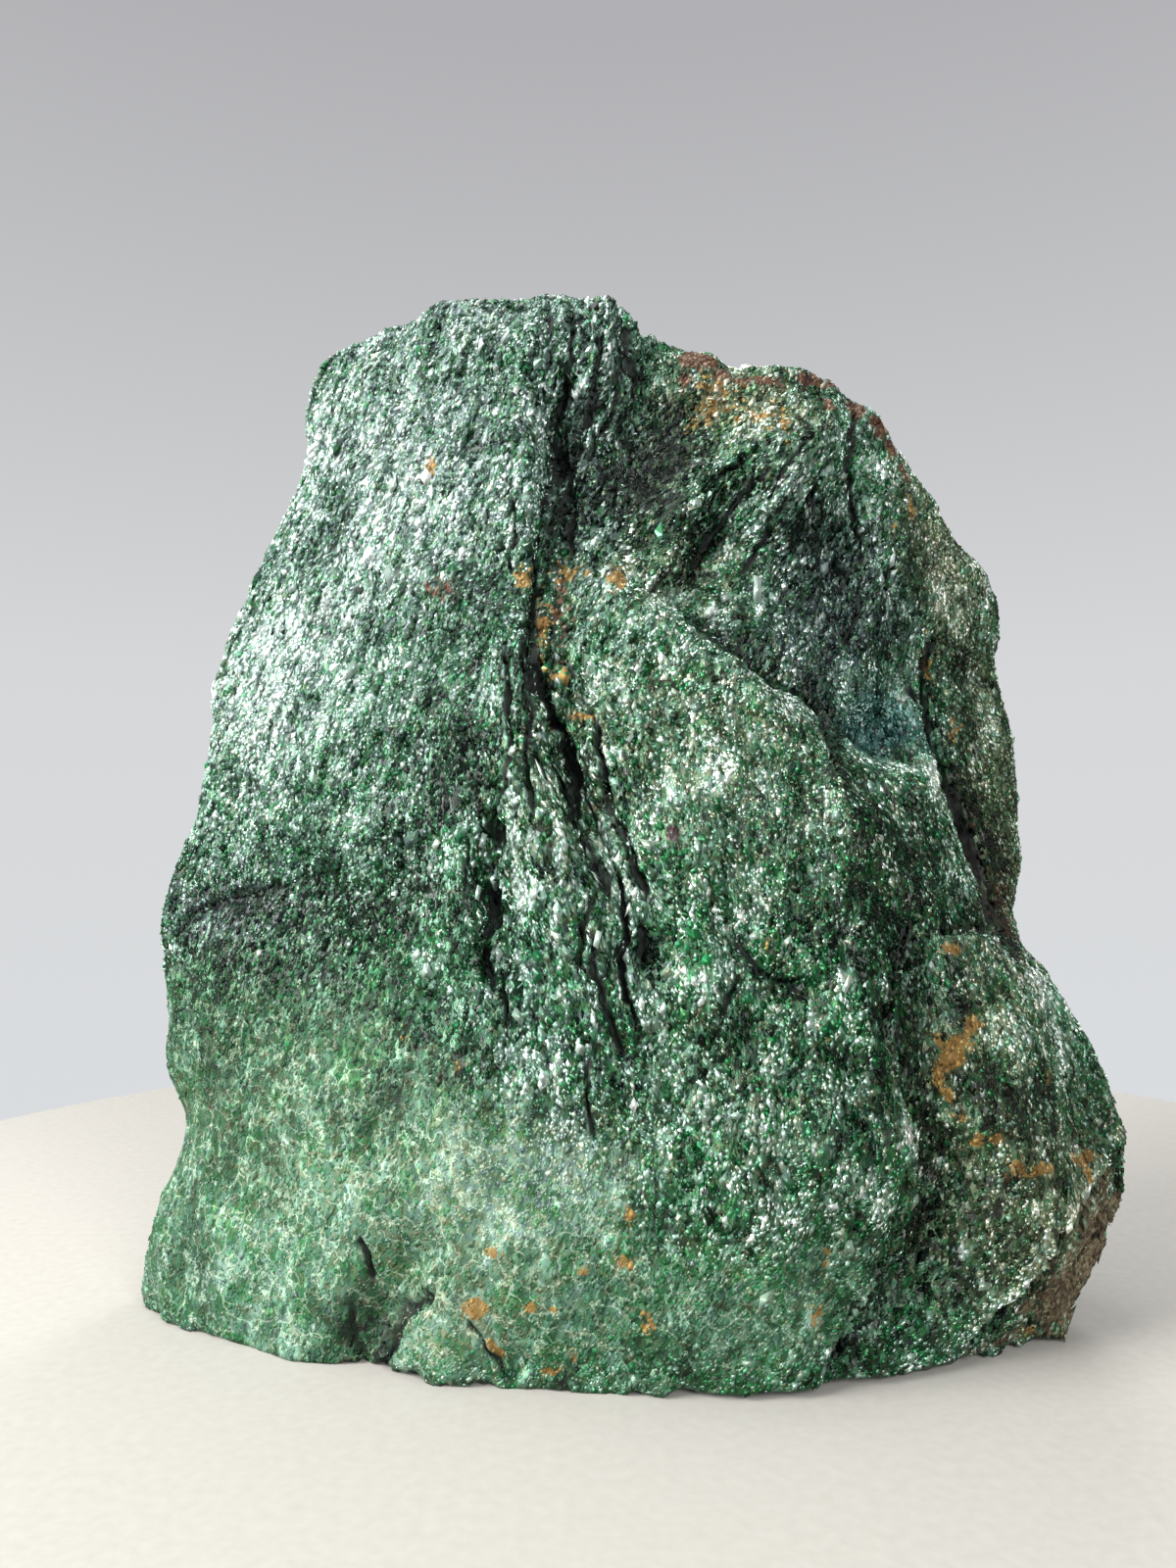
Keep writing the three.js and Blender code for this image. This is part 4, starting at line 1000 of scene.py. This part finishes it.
class Sock:
    def __init__(self, build, socket):
        self.build, self.socket = build, socket

    def maths(self, operation, *values):
        return self.build.node("ShaderNodeMath", {"operation": operation}, dict(enumerate(values)))

    def __add__(self, other):
        return self.maths("ADD", self, other)

    def __sub__(self, other):
        return self.maths("SUBTRACT", self, other)

    def __mul__(self, other):
        return self.maths("MULTIPLY", self, other)

    def __rsub__(self, other):
        return self.maths("SUBTRACT", other, self)

    __radd__ = __add__
    __rmul__ = __mul__

    def size(self):
        return self.maths("ABSOLUTE", self)

    def at_least(self, other):
        return self.maths("MAXIMUM", self, other)

    def step(self, low, high):
        """0 below low and 1 above high, smooth between."""
        return self.build.node("ShaderNodeMapRange", {"interpolation_type": "SMOOTHSTEP"},
                               {"Value": self, "From Min": low, "From Max": high})


class Build:
    """Builds the nodes of a material or a world."""

    def __init__(self, owner, shader="Principled BSDF"):
        owner.use_nodes = True
        self.owner, self.tree = owner, owner.node_tree
        self.shader = self.tree.nodes[shader]

    def node(self, kind, settings=None, sockets=None, output=0):
        """Adds a node with its settings, feeds its sockets, and returns one of its outputs."""
        node = self.tree.nodes.new(kind)
        for key, value in (settings or {}).items():
            if key == "stops":
                set_stops(node.color_ramp, value)
            else:
                setattr(node, key, value)
        for key, value in (sockets or {}).items():
            self.feed(node.inputs[key], value)
        return Sock(self, node.outputs[output])

    def feed(self, socket, value):
        if isinstance(value, Sock):
            self.tree.links.new(value.socket, socket)
        else:
            socket.default_value = value

    def set(self, **values):
        for key, value in values.items():
            self.feed(self.shader.inputs[key.replace("_", " ")], value)

    def mix(self, share, a, b):
        """Colour a where share is 0, and colour b where it is 1."""
        return self.node("ShaderNodeMix", {"data_type": "RGBA"}, {0: share, 6: a, 7: b}, 2)

    def ramp(self, stops, value):
        return self.node("ShaderNodeValToRGB", {"stops": stops}, {"Fac": value})

    def vector(self, operation, *values, output=0):
        return self.node("ShaderNodeVectorMath", {"operation": operation}, dict(enumerate(values)), output)

    def parts(self, kind, value):
        """The three parts of a vector (kind XYZ) or of a colour (kind Color)."""
        node = self.node("ShaderNodeSeparate" + kind, {}, {0: value}).socket.node
        return [Sock(self, output) for output in node.outputs]

    def attribute(self, name, output="Fac"):
        return self.node("ShaderNodeAttribute", {"attribute_name": name}, {}, output)

    def channels(self, name):
        """Red, green, blue and alpha of a colour attribute."""
        return self.parts("Color", self.attribute(name, "Color")) + [self.attribute(name, "Alpha")]

    def place(self):
        """The object's own coordinates, in metres."""
        return self.node("ShaderNodeTexCoord", output="Object")

    def noise_at(self, place, detail=3.0):
        return self.node("ShaderNodeTexNoise", {}, {"Vector": place, "Scale": 1.0, "Detail": detail})

    def noise(self, size, detail=3.0, stretch=(1, 1, 1)):
        """Noise over the object's own coordinates, with features of about size metres."""
        return self.noise_at(self.vector("MULTIPLY", self.place(), [1 / (size * s) for s in stretch]), detail)


def set_stops(ramp, stops):
    while len(ramp.elements) < len(stops):
        ramp.elements.new(1.0)
    for element, (place, colour) in zip(ramp.elements, stops):
        element.position, element.color = place, colour


def rgb(text):
    """A colour written as its usual hexadecimal digits, as linear light and with an alpha of 1."""
    parts = [int(text[i:i + 2], 16) / 255 for i in (0, 2, 4)]
    return (*(p / 12.92 if p <= 0.04045 else ((p + 0.055) / 1.055) ** 2.4 for p in parts), 1.0)


GREENS = [(0.0, rgb("050f08")), (0.15, rgb("0f321b")), (0.32, rgb("336146")), (0.5, rgb("688b78")),
          (0.7, rgb("9bb5a8")), (0.86, rgb("cadbd3")), (1.0, rgb("f3faf7"))]
EMERALDS = [(0.0, rgb("01150a")), (0.3, rgb("064c1f")), (0.6, rgb("1f8449")), (1.0, rgb("b4e4cb"))]
SLATES = [(0.0, rgb("0d1113")), (0.3, rgb("333f3f")), (0.6, rgb("7a8d8b")), (1.0, rgb("eff8f6"))]
TEALS = [(0.0, rgb("081c1e")), (0.35, rgb("366664")), (1.0, rgb("8fb3ad"))]
OLIVES = [(0.0, rgb("16150d")), (0.3, rgb("4c4f38")), (0.6, rgb("8f9374")), (1.0, rgb("f0f1dd"))]
OCHRE, DEEP_OCHRE = rgb("9c783c"), rgb("5c4218")
RUST, DEEP_RUST = rgb("6f5f47"), rgb("38251a")      # on the flank low down
RED_RUST, DEEP_RED = rgb("76503a"), rgb("3e1a10")   # under the shoulder's edge
RED_FROM, RED_ABOVE = 90.0, 140.0  # heights between which the rust turns to the red one, in millimetres
# Painted shade, with some dark dirt, inside cracks and slits.
GROOVE_DIRT_AND_SHADE = rgb("060807")
PALE_FIBRE = rgb("c3d2bd")
GARNET_RED = rgb("1c0805")
SHINE = 0.4              # specular level of the skin and of the plates
STAINED = 0.85           # the share of a stain's colour where it is full
LEAN_OF_CELLS = 0.6      # how far the skin's crystal cells lean apart


def inside_garnet(build):
    """1 inside the garnet grain on the face, 0 elsewhere."""
    x, y, z = build.parts("XYZ", build.place())
    at_x, at_z, wide, high = (length * MM for length in GARNET)
    across, upward = (x - at_x) * (1 / wide), (z - at_z) * (1 / high)
    return (1.0 - (across * across + upward * upward)).step(-0.15, 0.15) * (0.0 - y).step(0.0, 0.001)


def mineral_colour(build, tone, grain):
    """The stone's colour from its tone and from what the place is made of, with painted shade in the cracks.
    Returns the colour and how earthy the place is, how far inside a groove and how fibrous."""
    slate, teal, olive, fuzz = build.channels("mineral")
    ochre, rust, groove, _ = build.channels("stain")
    grained = grain - 0.5
    emerald = (build.noise(0.006) + grain * 0.6 + (0.4 - tone) * 0.5).step(0.82, 0.98)
    colour = build.mix(emerald, build.ramp(GREENS, tone), build.ramp(EMERALDS, tone))
    drift = build.noise(0.0014) - 0.5
    for share, turn, stops in ((slate, drift * 2.6, SLATES), (olive, drift * -2.0 - grained * 0.5, OLIVES),
                               (teal, grained * 0.4, TEALS)):
        colour = build.mix((share + turn).step(0.0, 0.9) * 0.9, colour, build.ramp(stops, tone))
    vein = ((build.noise(0.0035, 4.0) - 0.5).size() * 35.0).step(1.0, 0.0) * (tone * 2.5).step(0.0, 1.0)
    colour = build.mix(vein * fuzz * 0.36, colour, PALE_FIBRE)
    blotch = build.noise(0.0016, 4.0) - 0.5
    # Stains are deeper where the tone is low, so they carry its painted shade too.
    light = (tone * 0.8 + grain * 0.5).step(0.2, 0.9)
    high = (build.parts("XYZ", build.place())[2] * (1 / MM)).step(RED_FROM, RED_ABOVE)
    rusty = (rust + blotch * 1.4 + grained * 0.2).step(0.4, 0.62)
    rusts = build.mix(light, build.mix(high, DEEP_RUST, DEEP_RED), build.mix(high, RUST, RED_RUST))
    colour = build.mix(rusty * STAINED, colour, rusts)
    stained = (ochre + blotch * 1.3 + grained * 0.45).step(0.42, 0.62)
    colour = build.mix(stained * STAINED, colour, build.mix(light, DEEP_OCHRE, OCHRE))
    # Cracks and slits are painted nearly black: shade with some dirt.
    inside = groove.step(0.05, 0.5)
    colour = build.mix(inside * 0.92, colour, GROOVE_DIRT_AND_SHADE)
    return colour, stained.at_least(rusty), inside, fuzz


def skin_material():
    build = Build(bpy.data.materials.new("schist_skin"))
    tone, fibrous = build.channels("stain")[3], build.channels("mineral")[3]
    place = build.place()
    stretched = build.vector("MULTIPLY", place, (1000, 1000, 620))
    cells = build.node("ShaderNodeTexVoronoi", {}, {"Vector": stretched, "Scale": 1.15}, "Color")
    chance = build.parts("Color", cells)[0]
    fine = build.noise(0.0009, 4.0, (1, 1, 2))
    _, depth, height = build.parts("XYZ", place)
    drawn = {0: build.attribute("layer") * 1.3, 1: depth * 700.0, 2: height * 160.0}
    streak = build.noise_at(build.node("ShaderNodeCombineXYZ", {}, drawn))
    mixed = tone + (chance - 0.5) * (0.4 - fibrous * 0.22) + (fine - 0.5) * 0.4
    mixed += (streak - 0.5) * (0.7 - fibrous * 0.6)
    colour, earthy, inside, fuzz = mineral_colour(build, mixed, fine)
    garnet = inside_garnet(build)
    normal = build.node("ShaderNodeNewGeometry", output="Normal")
    tilt = build.vector("MULTIPLY_ADD", cells, [LEAN_OF_CELLS] * 3, [-LEAN_OF_CELLS / 2] * 3)
    leaning = build.vector("NORMALIZE", build.vector("ADD", normal, tilt))
    bumped = build.node("ShaderNodeBump", {}, {"Height": fine * 0.5 + streak, "Strength": 0.8,
                                               "Distance": 0.0005, "Normal": leaning})
    build.set(Base_Color=build.mix(garnet, colour, GARNET_RED), Normal=bumped, Specular_IOR_Level=SHINE,
              Roughness=0.34 + fuzz * 0.25 + earthy * 0.3 + inside * 0.5,
              Metallic=0.4 - inside.at_least(garnet) * 0.4)
    return build.owner


def plate_material():
    build = Build(bpy.data.materials.new("mica_plate"))
    tone = build.channels("stain")[3]
    chance, other, _, _ = build.channels("chance")
    fine = build.noise(0.0007, 3.0, (1, 1, 2))
    colour, earthy, _, fuzz = mineral_colour(build, tone + (fine - 0.5) * 0.25, chance)
    build.set(Base_Color=colour, Roughness=0.2 + other * 0.25 + fuzz * 0.35 + earthy * 0.3,
              Metallic=0.6 - fuzz * 0.5 - earthy * 0.3, Specular_IOR_Level=SHINE)
    return build.owner


# ---------------------------------------------------------------------------------------------
# Stage, light and camera.
# ---------------------------------------------------------------------------------------------

EYE = (-6.9, -218.6, 85.6)      # millimetres
EYE_TILT = math.radians(3.46823)
LENS = 26.0                     # millimetres on a 36 mm frame height
WINDOW_WAY = (-0.7, -0.4, 0.59)  # the way that the room is brightest
ROOM_LIGHT = [(0.0, (0.20, 0.20, 0.20, 1)), (0.5, (0.30, 0.31, 0.32, 1)), (1.0, (0.62, 0.64, 0.66, 1))]
# The wall that the camera sees behind the stone: a painted backdrop that lights nothing, darker towards the
# top.
WALL = [(0.0, (0.70, 0.72, 0.74, 1)), (0.35, (0.67, 0.68, 0.69, 1)), (0.8, (0.44, 0.44, 0.46, 1))]
TABLE_AT, TABLE_RADIUS, TABLE_THICK = (8, 46), 232, 14
TABLE_ROUND = 4                 # radius of its edge
TABLE_DARK, TABLE_PALE = rgb("93908a"), rgb("a19e98")
LIT = (0, 0, 95)                # what the lamps aim at
# Softboxes: name, place, width, height, power in watts and colour.
SOFTBOXES = (
    ("window_left", (-600, -290, 360), 400, 400, 14.5, (1.0, 0.99, 0.97)),
    ("front_fill", (260, -640, 360), 300, 300, 6.0, (1, 1, 1)),
    ("top", (-60, 60, 700), 400, 300, 2.0, (1, 1, 1)),
    ("back_fill", (240, 620, 320), 300, 300, 3.5, (1, 1, 1)),
)


def add_camera():
    bpy.ops.object.camera_add(location=Vector(EYE) * MM, rotation=(math.pi / 2 + EYE_TILT, 0, 0))
    camera = bpy.context.object
    camera.name = "camera"
    camera.data.lens = LENS
    camera.data.sensor_width = 36
    camera.data.clip_start = 0.01
    bpy.context.scene.camera = camera


def add_softbox(name, place, width, height, power, colour):
    bpy.ops.object.light_add(type="AREA", location=Vector(place) * MM)
    lamp = bpy.context.object
    lamp.name = name
    lamp.rotation_euler = (Vector(LIT) - Vector(place)).to_track_quat("-Z", "Y").to_euler()
    lamp.data.shape = "RECTANGLE"
    lamp.data.size, lamp.data.size_y = width * MM, height * MM
    lamp.data.energy = power
    lamp.data.color = colour


def add_stage():
    build = Build(bpy.data.materials.new("pale_floor"))
    build.set(Base_Color=build.mix(build.noise(0.002, 4.0), TABLE_DARK, TABLE_PALE), Roughness=0.9)
    bpy.ops.mesh.primitive_cylinder_add(vertices=128, radius=TABLE_RADIUS * MM, depth=TABLE_THICK * MM,
                                        location=Vector((*TABLE_AT, -TABLE_THICK / 2)) * MM)
    table = bpy.context.object
    table.name = "floor"
    rounding = table.modifiers.new("rounding", "BEVEL")
    rounding.width, rounding.segments = TABLE_ROUND * MM, 3
    bpy.ops.object.modifier_apply(modifier="rounding")
    bpy.ops.object.transform_apply(location=True)
    table.data.materials.append(build.owner)


def add_light():
    build = Build(bpy.data.worlds.new("studio"), "Background")
    bpy.context.scene.world = build.owner
    way = build.node("ShaderNodeTexCoord", output="Generated")
    window = build.vector("DOT_PRODUCT", way, WINDOW_WAY, output="Value")
    light = build.ramp(ROOM_LIGHT, window * 0.5 + 0.5)
    wall = build.ramp(WALL, build.parts("XYZ", way)[2] + 0.2)
    build.set(Color=build.mix(build.node("ShaderNodeLightPath", output="Is Camera Ray"), light, wall))
    for softbox in SOFTBOXES:
        add_softbox(*softbox)


def main():
    add_camera()
    add_stage()
    add_light()
    skin = make_skin()
    plates = make_plates(skin)
    skin.data.attributes.remove(skin.data.attributes["groove"])
    skin.data.materials.append(skin_material())
    mica = plate_material()
    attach(skin, "root")
    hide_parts("stone")
    for piece in plates:
        piece.data.materials.append(mica)
        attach(piece, "root")
    bpy.context.scene.view_settings.view_transform = "Standard"


main()
